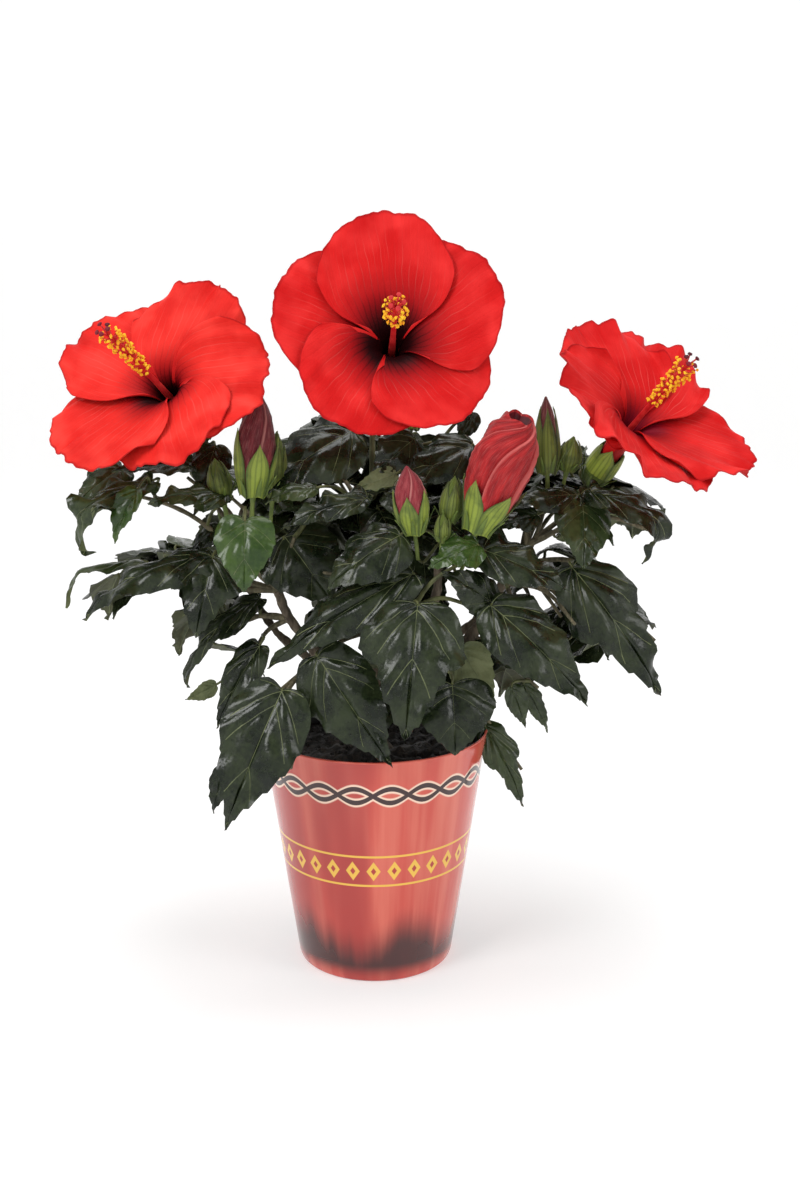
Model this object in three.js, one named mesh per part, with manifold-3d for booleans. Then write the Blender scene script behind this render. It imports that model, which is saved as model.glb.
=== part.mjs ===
// A potted hibiscus shrub: a tapered pot of moist compost, a short woody stem that forks low,
// tapering boughs, masses of foliage, three large open blooms and their buds.
// Units are millimetres and +Z is up. The origin is the centre of the pot's flat underside.

import * as THREE from 'three';
import { mergeVertices } from 'three/addons/utils/BufferGeometryUtils.js';
import Module from 'manifold-3d';

const wasm = await Module();
wasm.setup();

// ---------------------------------------------------------------- driving dimensions

const GAP = 0.35;                 // running gap between neighbouring solids
const SHARPNESS = 4;              // how narrowly a petal's own opening angle holds around it

const POT = {
  height: 149,
  topRadius: 70,
  footRadius: 48,
  footRound: 2.5,
  wall: 1.6,
  floor: 2.4,
  segments: 32,
};

const SOIL = {
  level: 136,
  seatRadius: 16,
  crumble: 1.6,                   // how high the crumbs stand
  sideGap: 0.8,
  edgeDrop: 4,                    // how far its edge lies below the level
  mid: [0.55, 0.84],              // shares of the edge's radius where its crumbly rings lie
  segments: 24,
};

const STEM = {
  flareRadius: 10,
  neckRadius: 6.4,
  topRadius: 5.4,
  flareHeight: 9,
  height: 30,
  cap: 1.5,                       // how far its domed top stands above its height
  leanX: 2.5,
  leanY: -1.5,
  sides: 10,
  buttresses: 4,
  buttressDepth: 0.1,             // how far the root buttresses stand out, as a share of the radius
  flareEase: [0.82, 0.35],        // shares of the flare's radius and height where it eases in
  forkStart: 0.7,                 // share of the height where the stem thins to the fork
};

// Each bough starts in the fork, and runs through these points to where its foliage takes over.
const BOUGHS = [
  {
    name: 'bough_left',
    path: [[0, -1, 158], [-30, -4, 190], [-50, -8, 218], [-58, -12, 238]],
    startRadius: 3.8,
    endRadius: 2.5,
  },
  {
    name: 'bough_right',
    path: [[3, -1, 158], [30, -2, 182], [57, -3, 205], [80, 0, 243], [92, 0, 263]],
    startRadius: 4.4,
    endRadius: 2.6,
  },
  {
    name: 'bough_centre',
    path: [[2, -3, 158], [18, -18, 196], [36, -34, 237], [38, -40, 262]],
    startRadius: 3.6,
    endRadius: 2.3,
  },
  {
    name: 'bough_left_rear',
    path: [[0, 1, 158], [-35, 14, 184], [-63, 20, 206], [-80, 25, 234]],
    startRadius: 3.4,
    endRadius: 2.2,
  },
  {
    name: 'bough_rear',
    path: [[2, 2, 158], [0, 14, 200], [-1, 20, 234], [-1, 21, 260]],
    startRadius: 3.8,
    endRadius: 2.4,
  },
  {
    name: 'bough_right_rear',
    path: [[4, 1, 158], [34, 26, 184], [66, 46, 208], [92, 56, 236]],
    startRadius: 3.4,
    endRadius: 2.1,
  },
];

// A bough or stalk is made with this many sides, and this many steps between two of its points.
const LIMB = {
  sides: 7,
  stepsPerSpan: 2,
};

const FLOWER_STALKS = [
  {
    name: 'flower_stalk_centre',
    path: [[-1, 20, 300], [-0.5, 17, 330], [5, 20, 351], [9.8, 18.9, 360.4]],
    startRadius: 2.1,
    endRadius: 1.9,
  },
  {
    name: 'flower_stalk_left',
    path: [[-92, 12, 286], [-97, 16, 304], [-102.2, 13, 326]],
    startRadius: 2,
    endRadius: 1.9,
  },
  {
    name: 'flower_stalk_right',
    path: [[112, 1, 286], [121, 3, 292], [130.6, 11.5, 299.4]],
    startRadius: 2.2,
    endRadius: 2,
  },
];

const COROLLA = {
  tubeRadius: 6,
  thickness: 1.2,
  tubeLength: 12,                 // arc length along a petal where it starts to open
  openLength: 50,                 // arc length where it is fully open
  curlLength: 35,                 // arc length past it over which the rim curls
  curlPower: 1.5,
  curlLimit: 2,
  notchDepth: 0.22,               // how much shorter a petal is at its sides
  notchPower: 2.6,
  notchLimit: 1.15,               // how many half widths from its middle a petal still reaches
  reach: 60,                      // radius at which neighbouring petals overlap
  steps: 24,                      // steps taken along a petal to add up its slope
  around: 28,
  rows: [0, 0.22, 0.52, 1],
};

// A bloom's base is the foot of its petals. Petals are [azimuth, length, half width, opening, curl],
// with angles in degrees, counted clockwise from the top as the bloom faces its viewer.
const BLOOMS = [
  {
    name: 'centre',
    base: [10.3, 0, 371],
    axis: [0.02, -0.871, 0.491],
    column: [0.039, -0.892, 0.451],
    columnLength: 84,
    petals: [
      [355, 97, 47, 73, 8], [56, 92, 52, 70, 6], [134, 84, 52, 89, 8],
      [213, 84, 55, 85, 9], [292, 94, 49, 73, 5],
    ],
  },
  {
    name: 'left',
    base: [-109.5, -2, 340],
    axis: [-0.336, -0.691, 0.64],
    column: [-0.413, -0.672, 0.615],
    columnLength: 88,
    petals: [
      [17, 89, 47, 75, 6], [85, 89, 50, 93, 10], [149, 88, 47, 79, 9],
      [209, 95, 46, 73, 7], [293, 95, 42, 83, 6],
    ],
  },
  {
    name: 'right',
    base: [139, 0, 315.7],
    axis: [0.387, -0.532, 0.753],
    column: [0.445, -0.553, 0.705],
    columnLength: 86,
    petals: [
      [5, 93, 48, 78, 9], [44, 96, 44, 79, 9], [144, 95, 50, 74, 3],
      [210, 97, 52, 73, -4], [293, 85, 48, 66, 5],
    ],
  },
];

const COLUMN = {
  footRadius: 2.2,
  neckRadius: 1.7,
  neckTaper: 4,                   // how far below the head the neck starts to swell
  headRadius: 6.2,
  headLength: 27,
  headFoot: 0.7,                  // shares of the head's radius at its foot and its tip
  headTip: 0.5,
  headWidest: 0.35,               // share of the head's length from its tip to its widest ring
  clearance: 1.6,
  sides: 8,
};

const CALYX = {
  depth: 22,
  cupHeight: 9,
  radius: 10,
  wall: 1.3,
  footShare: 0.45,                // shares of the radius at the foot, half way up and at the rim
  waistShare: 0.95,
  rimShare: 1.12,
  sides: 8,
};

const BUD = {
  sides: 6,
  stalkFoot: 1.6,
  stalkTop: 1.4,
  stalkEnd: 2,                    // how far below the calyx the thin stalk ends
  calyx: [[0.55, 0.05], [0.92, 0.3], [1, 0.5]],   // shares of radius and length up the body
  shoulder: [0.6, 0.8],           // the same for the shoulder of a pointed bud
  bluntShoulder: 0.35,            // how much fuller the shoulder of a blunt bud is
  bluntTip: 0.9,
  tipRadius: 0.3,
  tipRound: 0.5,
};

// Buds stand on stalks of their own: name, the stalk's foot, the bud's tip, radius, the stalk's
// share of the length and how blunt the tip is.
const BUDS = [
  ['bud_red_opening', [50, -43, 254], [84.5, -45, 348], 18, 0.28, 0.5],
  ['bud_left_dark', [-72, -28, 270], [-64.5, -35, 358], 12, 0.34, 0],
  ['bud_left_green', [-62, -10, 272], [-56, -18, 334], 7, 0.4, 0],
  ['bud_left_small', [-84, -20, 272], [-92, -24, 319], 7, 0.5, 0.1],
  ['bud_pink', [26.2, -37.4, 262], [19.5, -50, 318], 9.5, 0.32, 0],
  ['bud_green_centre', [41, -38, 260], [47, -40, 311], 6.5, 0.5, 0],
  ['bud_green_low', [39.3, -43.7, 262], [40.3, -47, 290.5], 4.4, 0.46, 0.1],
  ['bud_right_tall', [104, -4, 292], [101.5, -5, 353], 7.5, 0.28, 0],
  ['bud_right_short', [112, 1, 291], [119, 0, 329], 7, 0.48, 0],
  ['bud_rear', [20, 78, 300], [26, 92, 362], 8.5, 0.4, 0],
  ['bud_left_rear', [-96, 48, 262], [-110, 60, 316], 7.5, 0.42, 0],
];

// Foliage masses: name, centre, half sizes, lean about Y then about X in degrees, and fineness.
const MASSES = [
  ['foliage_centre', [0, 2, 288], [58, 34, 38], [0, 0], 2],
  ['foliage_left_centre', [-52, -20, 260], [42, 36, 30], [10, 0], 2],
  ['foliage_left_upper', [-129, 0, 298], [56, 44, 19], [6, 0], 2],
  ['foliage_left_lower', [-132, -12, 238], [58, 42, 21], [-10, 0], 2],
  ['foliage_left_hanging', [-92, -4, 198], [27, 33, 36], [24, 0], 2],
  ['foliage_front_left', [-61, -82, 165], [28, 16, 52], [22, 0], 2],
  ['foliage_front', [0, -68, 206], [62, 24, 50], [0, 6], 2],
  ['foliage_right_upper', [126, 0, 280], [57, 44, 27], [12, 0], 2],
  ['foliage_right_lower', [140, -18, 222], [40, 32, 48], [-26, 0], 2],
  ['foliage_right_front', [92, -50, 226], [36, 22, 52], [-30, 0], 2],
  ['foliage_right_hanging', [84, -2, 180], [31, 28, 32], [0, 0], 2],
  ['foliage_right_rim', [86, -5, 128], [12, 15, 34], [-14, 0], 1],
  ['foliage_above_pot', [40, -20, 172], [34, 30, 17], [0, 0], 1],
  ['foliage_rear', [4, 84, 298], [56, 46, 44], [0, 0], 2],
  ['foliage_rear_left', [-66, 66, 270], [50, 48, 32], [0, 0], 2],
  ['foliage_rear_right', [94, 64, 284], [50, 46, 20], [0, 0], 2],
  ['foliage_rear_low', [8, 70, 222], [48, 42, 34], [0, 0], 2],
  ['foliage_right_rear_low', [120, 56, 212], [46, 44, 32], [-14, 0], 2],
  ['foliage_left_rear_low', [-124, 56, 224], [46, 42, 21], [-12, 0], 2],
];

// A mass's lumps are waves laid over its ball: how many, how strong and how closely they follow.
const LUMPS = {
  firstSeed: 11,
  count: 6,
  strength: 0.5,
  lowest: 2.4,
  highest: 5.4,
  clearance: 1.4,                 // how far a running gap is spread, so that steep lumps keep it
};

// ---------------------------------------------------------------- materials

const finish = (color, roughness) => new THREE.MeshStandardMaterial({ color, roughness, metalness: 0 });

const FINISH = {
  pot: finish(0xd24a3c, 0.3),
  soil: finish(0x2a1d14, 0.95),
  bark: finish(0x54483a, 0.8),
  stalk: finish(0x4c5a2c, 0.6),
  leaf: finish(0x24301f, 0.4),
  petal: finish(0xe0231f, 0.6),
  anther: finish(0xe8b020, 0.7),
  calyx: finish(0x7c9a34, 0.55),
  bud: finish(0xb8303a, 0.6),
};

// ---------------------------------------------------------------- small tools

const vec = (list) => new THREE.Vector3(...list);
const radians = THREE.MathUtils.degToRad;

/** A repeatable source of numbers from 0 to 1. */
function seededRandom(seed) {
  let state = seed * 2654435761;
  return () => {
    state = (state + 0x6d2b79f5) | 0;
    let mixed = Math.imul(state ^ (state >>> 15), 1 | state);
    mixed = (mixed + Math.imul(mixed ^ (mixed >>> 7), 61 | mixed)) ^ mixed;
    return ((mixed ^ (mixed >>> 14)) >>> 0) / 4294967296;
  };
}

/** Turns a closed geometry into a solid, with its seams merged and its poles cleaned. */
function solidOf(geometry) {
  const bare = geometry.clone();
  bare.deleteAttribute('normal');
  bare.deleteAttribute('uv');
  const merged = mergeVertices(bare, 1e-4);
  const corners = merged.index.array;
  const kept = [];
  for (let i = 0; i < corners.length; i += 3) {
    const [a, b, c] = [corners[i], corners[i + 1], corners[i + 2]];
    if (a !== b && b !== c && c !== a) {
      kept.push(a, b, c);
    }
  }
  const vertProperties = new Float32Array(merged.attributes.position.array);
  return new wasm.Manifold(new wasm.Mesh({ numProp: 3, vertProperties, triVerts: new Uint32Array(kept) }));
}

/** Turns a solid back into a geometry. */
function geometryOf(solid) {
  const mesh = solid.getMesh();
  const geometry = new THREE.BufferGeometry();
  geometry.setAttribute('position', new THREE.BufferAttribute(new Float32Array(mesh.vertProperties), 3));
  geometry.setIndex(new THREE.BufferAttribute(new Uint32Array(mesh.triVerts), 1));
  return geometry;
}

/** A closed skin over rings of points, drawn to one point at each end, with its faces pointing out. */
function skin(rings, first, last) {
  const around = rings[0].length;
  const points = [first, ...rings.flat(), last];
  const end = points.length - 1;
  const corners = [];
  for (let j = 0; j < around; j += 1) {
    const next = (j + 1) % around;
    corners.push([0, 1 + j, 1 + next]);
    for (let i = 0; i < rings.length - 1; i += 1) {
      const here = 1 + i * around;
      const above = here + around;
      corners.push([here + j, above + j, above + next]);
      corners.push([here + j, above + next, here + next]);
    }
    const top = 1 + (rings.length - 1) * around;
    corners.push([top + j, end, top + next]);
  }
  let volume = 0;
  for (const [a, b, c] of corners) {
    volume += points[a].dot(new THREE.Vector3().crossVectors(points[b], points[c]));
  }
  if (volume < 0) {
    corners.forEach((corner) => corner.reverse());
  }
  const geometry = new THREE.BufferGeometry().setFromPoints(points);
  geometry.setIndex(corners.flat());
  return geometry;
}

/** A body turned from a profile of [radius, height] pairs, stood at a point along a direction. */
function turned(profile, sides, foot, direction) {
  const points = profile.map(([radius, height]) => new THREE.Vector2(radius, height));
  const geometry = new THREE.LatheGeometry(points, sides);
  const turn = new THREE.Quaternion().setFromUnitVectors(new THREE.Vector3(0, 1, 0), direction);
  geometry.applyQuaternion(turn);
  geometry.translate(foot.x, foot.y, foot.z);
  return geometry;
}

// ---------------------------------------------------------------- pot, soil and wood

/** The tapered pot: an open shell with a flat underside and a softly rounded foot. */
function potGeometry(grow) {
  const { height, topRadius, footRadius, footRound, wall, floor, segments } = POT;
  const slope = (topRadius - footRadius) / height;
  const outer = (z) => footRadius + slope * z;
  const profile = [
    [0, -grow],
    [footRadius - footRound + grow, -grow],
    [outer(footRound) + grow, footRound],
    [topRadius + grow, height + grow],
    [topRadius - wall - grow, height + grow],
    [outer(floor) - wall - grow, floor + grow],
    [0, floor + grow],
  ];
  return turned(profile, segments, vec([0, 0, 0]), new THREE.Vector3(0, 1, 0)).rotateX(Math.PI / 2);
}

/** The moist compost inside the pot, crumbly on top and level where the stem stands. */
function soilGeometry(grow) {
  const { height, topRadius, footRadius, wall, floor } = POT;
  const slope = (topRadius - footRadius) / height;
  const inner = (z) => footRadius + slope * z - wall - SOIL.sideGap + grow;
  const bottom = floor + SOIL.sideGap;
  const { level, seatRadius, crumble, edgeDrop, mid, segments } = SOIL;
  const around = [...Array(segments).keys()].map((j) => (j / segments) * Math.PI * 2);
  const ring = (radius, z, wave) => around.map((turn) => new THREE.Vector3(
    radius * Math.cos(turn),
    radius * Math.sin(turn),
    z + wave * Math.sin(turn * 5 + radius) * Math.cos(turn * 3 - radius),
  ));
  const edge = inner(level - edgeDrop);
  const rings = [
    ring(inner(bottom), bottom, 0),
    ring(edge, level - edgeDrop, 0),
    ring(edge * mid[1], level - edgeDrop / 4 + grow, crumble),
    ring(edge * mid[0], level + grow, crumble),
    ring(seatRadius, level + grow, 0),
  ];
  return skin(rings, new THREE.Vector3(0, 0, bottom), new THREE.Vector3(0, 0, level + grow));
}

/** A tapering round limb along a smooth curve. radiusAt gives its radius from 0 to 1 along it. */
function limbGeometry(points, radiusAt, sides, steps) {
  const curve = new THREE.CatmullRomCurve3(points);
  const frames = curve.computeFrenetFrames(steps, false);
  const rings = [];
  for (let i = 0; i <= steps; i += 1) {
    const along = i / steps;
    const centre = curve.getPointAt(along);
    const radius = radiusAt(along);
    const ring = [];
    for (let j = 0; j < sides; j += 1) {
      const turn = (j / sides) * Math.PI * 2;
      ring.push(centre.clone()
        .addScaledVector(frames.normals[i], radius * Math.cos(turn))
        .addScaledVector(frames.binormals[i], radius * Math.sin(turn)));
    }
    rings.push(ring);
  }
  return skin(rings, curve.getPointAt(0), curve.getPointAt(1));
}

/** The short woody stem, from its flat cut on the soil and its root flare up to the low fork. */
function stemGeometry(grow) {
  const { flareRadius, neckRadius, topRadius, flareHeight, height, leanX, leanY, sides } = STEM;
  const [easeRadius, easeHeight] = STEM.flareEase;
  const foot = SOIL.level + GAP;
  const flare = flareRadius + grow;
  const neck = neckRadius + grow;
  const rows = [
    [flare, 0],
    [flare * easeRadius, flareHeight * easeHeight],
    [neck, flareHeight],
    [neck, height * STEM.forkStart],
    [topRadius + grow, height],
  ];
  const rings = rows.map(([radius, z]) => {
    const ring = [];
    for (let j = 0; j < sides; j += 1) {
      const turn = (j / sides) * Math.PI * 2;
      const lobe = 1 + STEM.buttressDepth * Math.cos(turn * STEM.buttresses) * (1 - z / height);
      ring.push(new THREE.Vector3(
        leanX * (z / height) + radius * lobe * Math.cos(turn),
        leanY * (z / height) + radius * lobe * Math.sin(turn),
        z > 0 ? foot + z : foot - grow,
      ));
    }
    return ring;
  });
  const end = new THREE.Vector3(leanX, leanY, foot + height + grow + STEM.cap);
  return skin(rings, new THREE.Vector3(0, 0, foot - grow), end);
}

/** A bough or flower stalk from its row in the lists above. */
function boughGeometry({ path, startRadius, endRadius }, grow) {
  const taper = (along) => THREE.MathUtils.lerp(startRadius, endRadius, along) + grow;
  return limbGeometry(path.map(vec), taper, LIMB.sides, LIMB.stepsPerSpan * (path.length - 1));
}

// ---------------------------------------------------------------- blooms

/** The directions of a bloom: its axis, its upward side, and its right side seen by its viewer. */
function bloomFrame(axisList) {
  const axis = vec(axisList).normalize();
  const up = new THREE.Vector3(0, 0, 1);
  up.addScaledVector(axis, -up.dot(axis)).normalize();
  const right = new THREE.Vector3().crossVectors(up, axis);
  return { axis, up, right };
}

/** Eases from 0 to 1. */
function ease(value) {
  const x = THREE.MathUtils.clamp(value, 0, 1);
  return x * x * (3 - 2 * x);
}

/** The petals' shared opening and curl at an azimuth, blended between neighbours. */
function openingAt(petals, azimuth) {
  let total = 0;
  let opening = 0;
  let curl = 0;
  for (const [centre, , , petalOpening, petalCurl] of petals) {
    const weight = Math.exp(SHARPNESS * Math.cos(azimuth - radians(centre)));
    total += weight;
    opening += weight * radians(petalOpening);
    curl += weight * radians(petalCurl);
  }
  return { opening: opening / total, curl: curl / total };
}

/** How far the petals reach at an azimuth, as arc length from their foot. */
function reachAt(petals, azimuth) {
  const lengths = petals.map(([centre, length, halfWidth]) => {
    const turn = azimuth - radians(centre) + Math.PI;
    const away = Math.abs(THREE.MathUtils.euclideanModulo(turn, Math.PI * 2) - Math.PI);
    const across = Math.min(COROLLA.notchLimit, (away * COROLLA.reach) / halfWidth);
    return length * (1 - COROLLA.notchDepth * across ** COROLLA.notchPower);
  });
  return Math.max(...lengths);
}

/** Radius, height and slope of the petals' surface at an azimuth and arc length. */
function petalProfile(petals, azimuth, arc) {
  const { opening, curl } = openingAt(petals, azimuth);
  const { tubeRadius, tubeLength, openLength, curlLength, curlPower, curlLimit, steps } = COROLLA;
  let radius = tubeRadius;
  let height = 0;
  let slope = 0;
  for (let k = 0; k < steps; k += 1) {
    const here = (arc * (k + 0.5)) / steps;
    const curled = THREE.MathUtils.clamp((here - openLength) / curlLength, 0, curlLimit) ** curlPower;
    slope = opening * ease((here - tubeLength) / (openLength - tubeLength)) + curl * curled;
    radius += (Math.sin(slope) * arc) / steps;
    height += (Math.cos(slope) * arc) / steps;
  }
  return { radius, height, slope };
}

/** The five overlapping petals as one thin, closed, lobed funnel. */
function corollaGeometry(bloom, grow) {
  const { axis, up, right } = bloomFrame(bloom.axis);
  const base = vec(bloom.base);
  const { thickness, around, rows } = COROLLA;
  const side = (outwards) => rows.map((share) => {
    const ring = [];
    for (let j = 0; j < around; j += 1) {
      const azimuth = (j / around) * Math.PI * 2;
      const reach = reachAt(bloom.petals, azimuth) + grow;
      const { radius, height, slope } = petalProfile(bloom.petals, azimuth, reach * share);
      const r = radius + outwards * Math.cos(slope);
      const h = height - outwards * Math.sin(slope);
      ring.push(base.clone()
        .addScaledVector(axis, h)
        .addScaledVector(up, r * Math.cos(azimuth))
        .addScaledVector(right, r * Math.sin(azimuth)));
    }
    return ring;
  });
  const front = side(-thickness - grow);
  const back = side(grow);
  const floorFront = base.clone().addScaledVector(axis, thickness + grow);
  const floorBack = base.clone().addScaledVector(axis, -grow);
  return skin([...front, ...back.reverse()], floorFront, floorBack);
}

/** The long column of stamens that stands out of the throat, with its swollen head of anthers. */
function columnGeometry(bloom, grow) {
  const { footRadius, neckRadius, neckTaper, headRadius, headLength, clearance, sides } = COLUMN;
  const length = bloom.columnLength;
  const start = clearance - grow;
  const profile = [
    [0, start],
    [footRadius + grow, start],
    [neckRadius + grow, length - headLength - neckTaper],
    [headRadius * COLUMN.headFoot + grow, length - headLength],
    [headRadius + grow, length - headLength * COLUMN.headWidest],
    [headRadius * COLUMN.headTip + grow, length],
    [0, length + grow],
  ];
  return turned(profile, sides, vec(bloom.base), vec(bloom.column).normalize());
}

/** The green cup of sepals that holds a bloom's petals. Its clearance is the cup with no cavity. */
function calyxGeometry(bloom, grow) {
  const { depth, cupHeight, radius, wall, footShare, waistShare, rimShare, sides } = CALYX;
  const { axis } = bloomFrame(bloom.axis);
  const cavity = [
    [radius * rimShare - wall, cupHeight],
    [radius - wall, -GAP],
  ];
  const profile = [
    [0, -depth - grow],
    [radius * footShare + grow, -depth - grow],
    [radius * waistShare + grow, -depth / 2],
    [radius + grow, 0],
    [radius * rimShare + grow, cupHeight + grow],
    ...(grow > 0 ? [] : cavity),
    [0, grow > 0 ? cupHeight + grow : -GAP],
  ];
  return turned(profile, sides, vec(bloom.base), axis);
}

/** A closed or half-open bud with its calyx and the stalk that it stands on. */
function budGeometry([, foot, tip, radius, stalk, blunt], grow) {
  const start = vec(foot);
  const along = vec(tip).sub(start);
  const length = along.length();
  const from = length * stalk;
  const body = length - from;
  const [shoulder, shoulderHeight] = BUD.shoulder;
  const profile = [
    [0, -grow],
    [BUD.stalkFoot + grow, -grow],
    [BUD.stalkTop + grow, from - BUD.stalkEnd],
    ...BUD.calyx.map(([share, rise]) => [radius * share + grow, from + body * rise]),
    [radius * (shoulder + BUD.bluntShoulder * blunt) + grow, from + body * shoulderHeight],
    [radius * BUD.bluntTip * blunt + BUD.tipRadius + grow, length - BUD.tipRound],
    [0, length + grow],
  ];
  return turned(profile, BUD.sides, start, along.normalize());
}

// ---------------------------------------------------------------- foliage

/** One closed, uneven mass of leaves: a ball drawn to its half sizes, with seeded lumps. */
function massGeometry([, centre, half, lean, detail], seed, grow) {
  const random = seededRandom(seed);
  const clear = grow * LUMPS.clearance;
  const waves = [];
  for (let i = 0; i < LUMPS.count; i += 1) {
    const pitch = LUMPS.lowest + (LUMPS.highest - LUMPS.lowest) * random();
    const facing = new THREE.Vector3(random() - 0.5, random() - 0.5, random() - 0.5).normalize();
    waves.push({ facing: facing.multiplyScalar(pitch), phase: random() * Math.PI * 2 });
  }
  const ball = new THREE.IcosahedronGeometry(1, detail);
  ball.deleteAttribute('normal');
  ball.deleteAttribute('uv');
  const geometry = mergeVertices(ball, 1e-4);
  const place = geometry.attributes.position;
  const point = new THREE.Vector3();
  for (let i = 0; i < place.count; i += 1) {
    point.fromBufferAttribute(place, i);
    let lump = 0;
    for (const { facing, phase } of waves) {
      lump += Math.sin(point.dot(facing) + phase);
    }
    const size = 1 + (LUMPS.strength * lump) / LUMPS.count;
    place.setXYZ(
      i,
      point.x * (half[0] * size + clear),
      point.y * (half[1] * size + clear),
      point.z * (half[2] * size + clear),
    );
  }
  geometry.rotateY(radians(lean[0]));
  geometry.rotateX(radians(lean[1]));
  geometry.translate(...centre);
  return geometry;
}

// ---------------------------------------------------------------- assembly

const shrub = new THREE.Group();
const placed = [];

/** True where two bounding boxes meet. */
function boxesMeet(a, b) {
  return [0, 1, 2].every((k) => a.min[k] <= b.max[k] && b.min[k] <= a.max[k]);
}

/** Adds a part, cut back from everything placed before it so that a small gap stays all round. */
function place(name, material, anchor, shape) {
  let solid = solidOf(shape(0));
  for (const earlier of placed) {
    if (boxesMeet(solid.boundingBox(), earlier.boundingBox())) {
      solid = solid.subtract(earlier);
    }
  }
  const pieces = solid.decompose();
  solid = pieces.reduce((best, piece) => (piece.volume() > best.volume() ? piece : best));
  placed.push(solidOf(shape(GAP)));
  const geometry = geometryOf(solid);
  geometry.translate(-anchor[0], -anchor[1], -anchor[2]);
  geometry.computeVertexNormals();
  const mesh = new THREE.Mesh(geometry, material);
  mesh.name = name;
  mesh.position.set(...anchor);
  shrub.add(mesh);
}

place('pot', FINISH.pot, [0, 0, 0], potGeometry);
place('soil', FINISH.soil, [0, 0, POT.floor], soilGeometry);
place('main_stem', FINISH.bark, [0, 0, SOIL.level], stemGeometry);
for (const bough of BOUGHS) {
  place(bough.name, FINISH.bark, bough.path[0], (grow) => boughGeometry(bough, grow));
}
for (const stalk of FLOWER_STALKS) {
  place(stalk.name, FINISH.stalk, stalk.path[0], (grow) => boughGeometry(stalk, grow));
}
for (const bloom of BLOOMS) {
  place(`corolla_${bloom.name}`, FINISH.petal, bloom.base, (grow) => corollaGeometry(bloom, grow));
  place(`column_${bloom.name}`, FINISH.anther, bloom.base, (grow) => columnGeometry(bloom, grow));
  place(`calyx_${bloom.name}`, FINISH.calyx, bloom.base, (grow) => calyxGeometry(bloom, grow));
}
for (const bud of BUDS) {
  const [name, foot] = bud;
  place(name, FINISH.bud, foot, (grow) => budGeometry(bud, grow));
}
for (const [order, mass] of MASSES.entries()) {
  const [name, centre] = mass;
  const seed = LUMPS.firstSeed + order;
  place(name, FINISH.leaf, centre, (grow) => massGeometry(mass, seed, grow));
}

export default shrub;
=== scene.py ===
"""The looks of a potted hibiscus shrub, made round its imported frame.

Lengths are in millimetres and angles in degrees unless a name says otherwise. Every place is worked out from the
frame's nodes, and every random choice is seeded.
"""

import logging
from dataclasses import dataclass, field
from enum import Enum
from math import cos, pi, radians, sin, sqrt, tau
from typing import Callable, Sequence, Union

import bmesh
import bpy
import numpy as np
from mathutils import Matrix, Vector


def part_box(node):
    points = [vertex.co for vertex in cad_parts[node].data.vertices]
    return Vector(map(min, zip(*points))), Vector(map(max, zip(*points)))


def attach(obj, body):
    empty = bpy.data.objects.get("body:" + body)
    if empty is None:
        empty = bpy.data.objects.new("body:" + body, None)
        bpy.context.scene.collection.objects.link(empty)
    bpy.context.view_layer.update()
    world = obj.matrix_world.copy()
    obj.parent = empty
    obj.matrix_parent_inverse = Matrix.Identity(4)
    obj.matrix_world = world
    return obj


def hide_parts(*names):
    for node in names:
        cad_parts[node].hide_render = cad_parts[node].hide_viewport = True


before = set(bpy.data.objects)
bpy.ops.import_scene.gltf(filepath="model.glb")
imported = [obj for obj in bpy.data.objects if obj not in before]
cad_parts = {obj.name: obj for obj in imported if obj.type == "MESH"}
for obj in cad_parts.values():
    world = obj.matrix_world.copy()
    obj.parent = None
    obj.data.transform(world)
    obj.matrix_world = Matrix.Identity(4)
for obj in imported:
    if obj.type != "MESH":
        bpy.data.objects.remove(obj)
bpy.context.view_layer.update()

LOG = logging.getLogger("hibiscus")

MM = 0.001
BODY = "root"
WELD_DISTANCE = 1e-6
GOLDEN_TURN = radians(137.5)
UP = np.array([0.0, 0.0, 1.0])
SURFACE_MAP = "Surface"

Array = np.ndarray
Pair = tuple[np.ndarray, np.ndarray]
Vec = tuple[float, float, float]
Colour = tuple[float, float, float]
Socket = bpy.types.NodeSocket
Material = bpy.types.Material
Number = Union["Amount", float]


class Slot(Enum):
    """The record's material slots."""

    POT = "pot"
    SOIL = "soil"
    BARK = "bark"
    STALK = "stalk"
    LEAF = "leaf"
    PETAL = "petal"
    COLUMN = "column"
    ANTHER = "anther"
    CALYX = "calyx"
    BUD = "bud"


# ---- small mathematics


def unit(vector: Array) -> Array:
    """Scales a vector, or rows of vectors, to length 1."""
    length = np.linalg.norm(vector, axis=-1, keepdims=True)
    return vector / np.maximum(length, 1e-9)


def across(vector: Array, axis: Array) -> Array:
    """The part of a vector at right angles to a unit axis, scaled to length 1."""
    return unit(vector - axis * np.dot(vector, axis))


def ease(value: Array | float) -> Array | float:
    """Eases from 0 to 1 as value goes from 0 to 1."""
    x = np.clip(value, 0.0, 1.0)
    return x * x * (3.0 - 2.0 * x)


def blend(a: Array, b: Array, share: float) -> Array:
    """The point that is a share of the way from a to b."""
    return a + (b - a) * share


def turns(count: int) -> Array:
    """Angles evenly spread round a full turn, in radians."""
    return np.arange(count) * (tau / count)


def stacked(*parts: Array | float) -> Array:
    """Joins values of different shapes on a last axis."""
    return np.stack(np.broadcast_arrays(*parts), -1)


def smooth_path(knots: Array, count: int) -> Array:
    """A smooth curve through knots, as count points evenly spread over them."""
    return spline_at(np.asarray(knots, float), np.linspace(0, 1, count))


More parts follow.
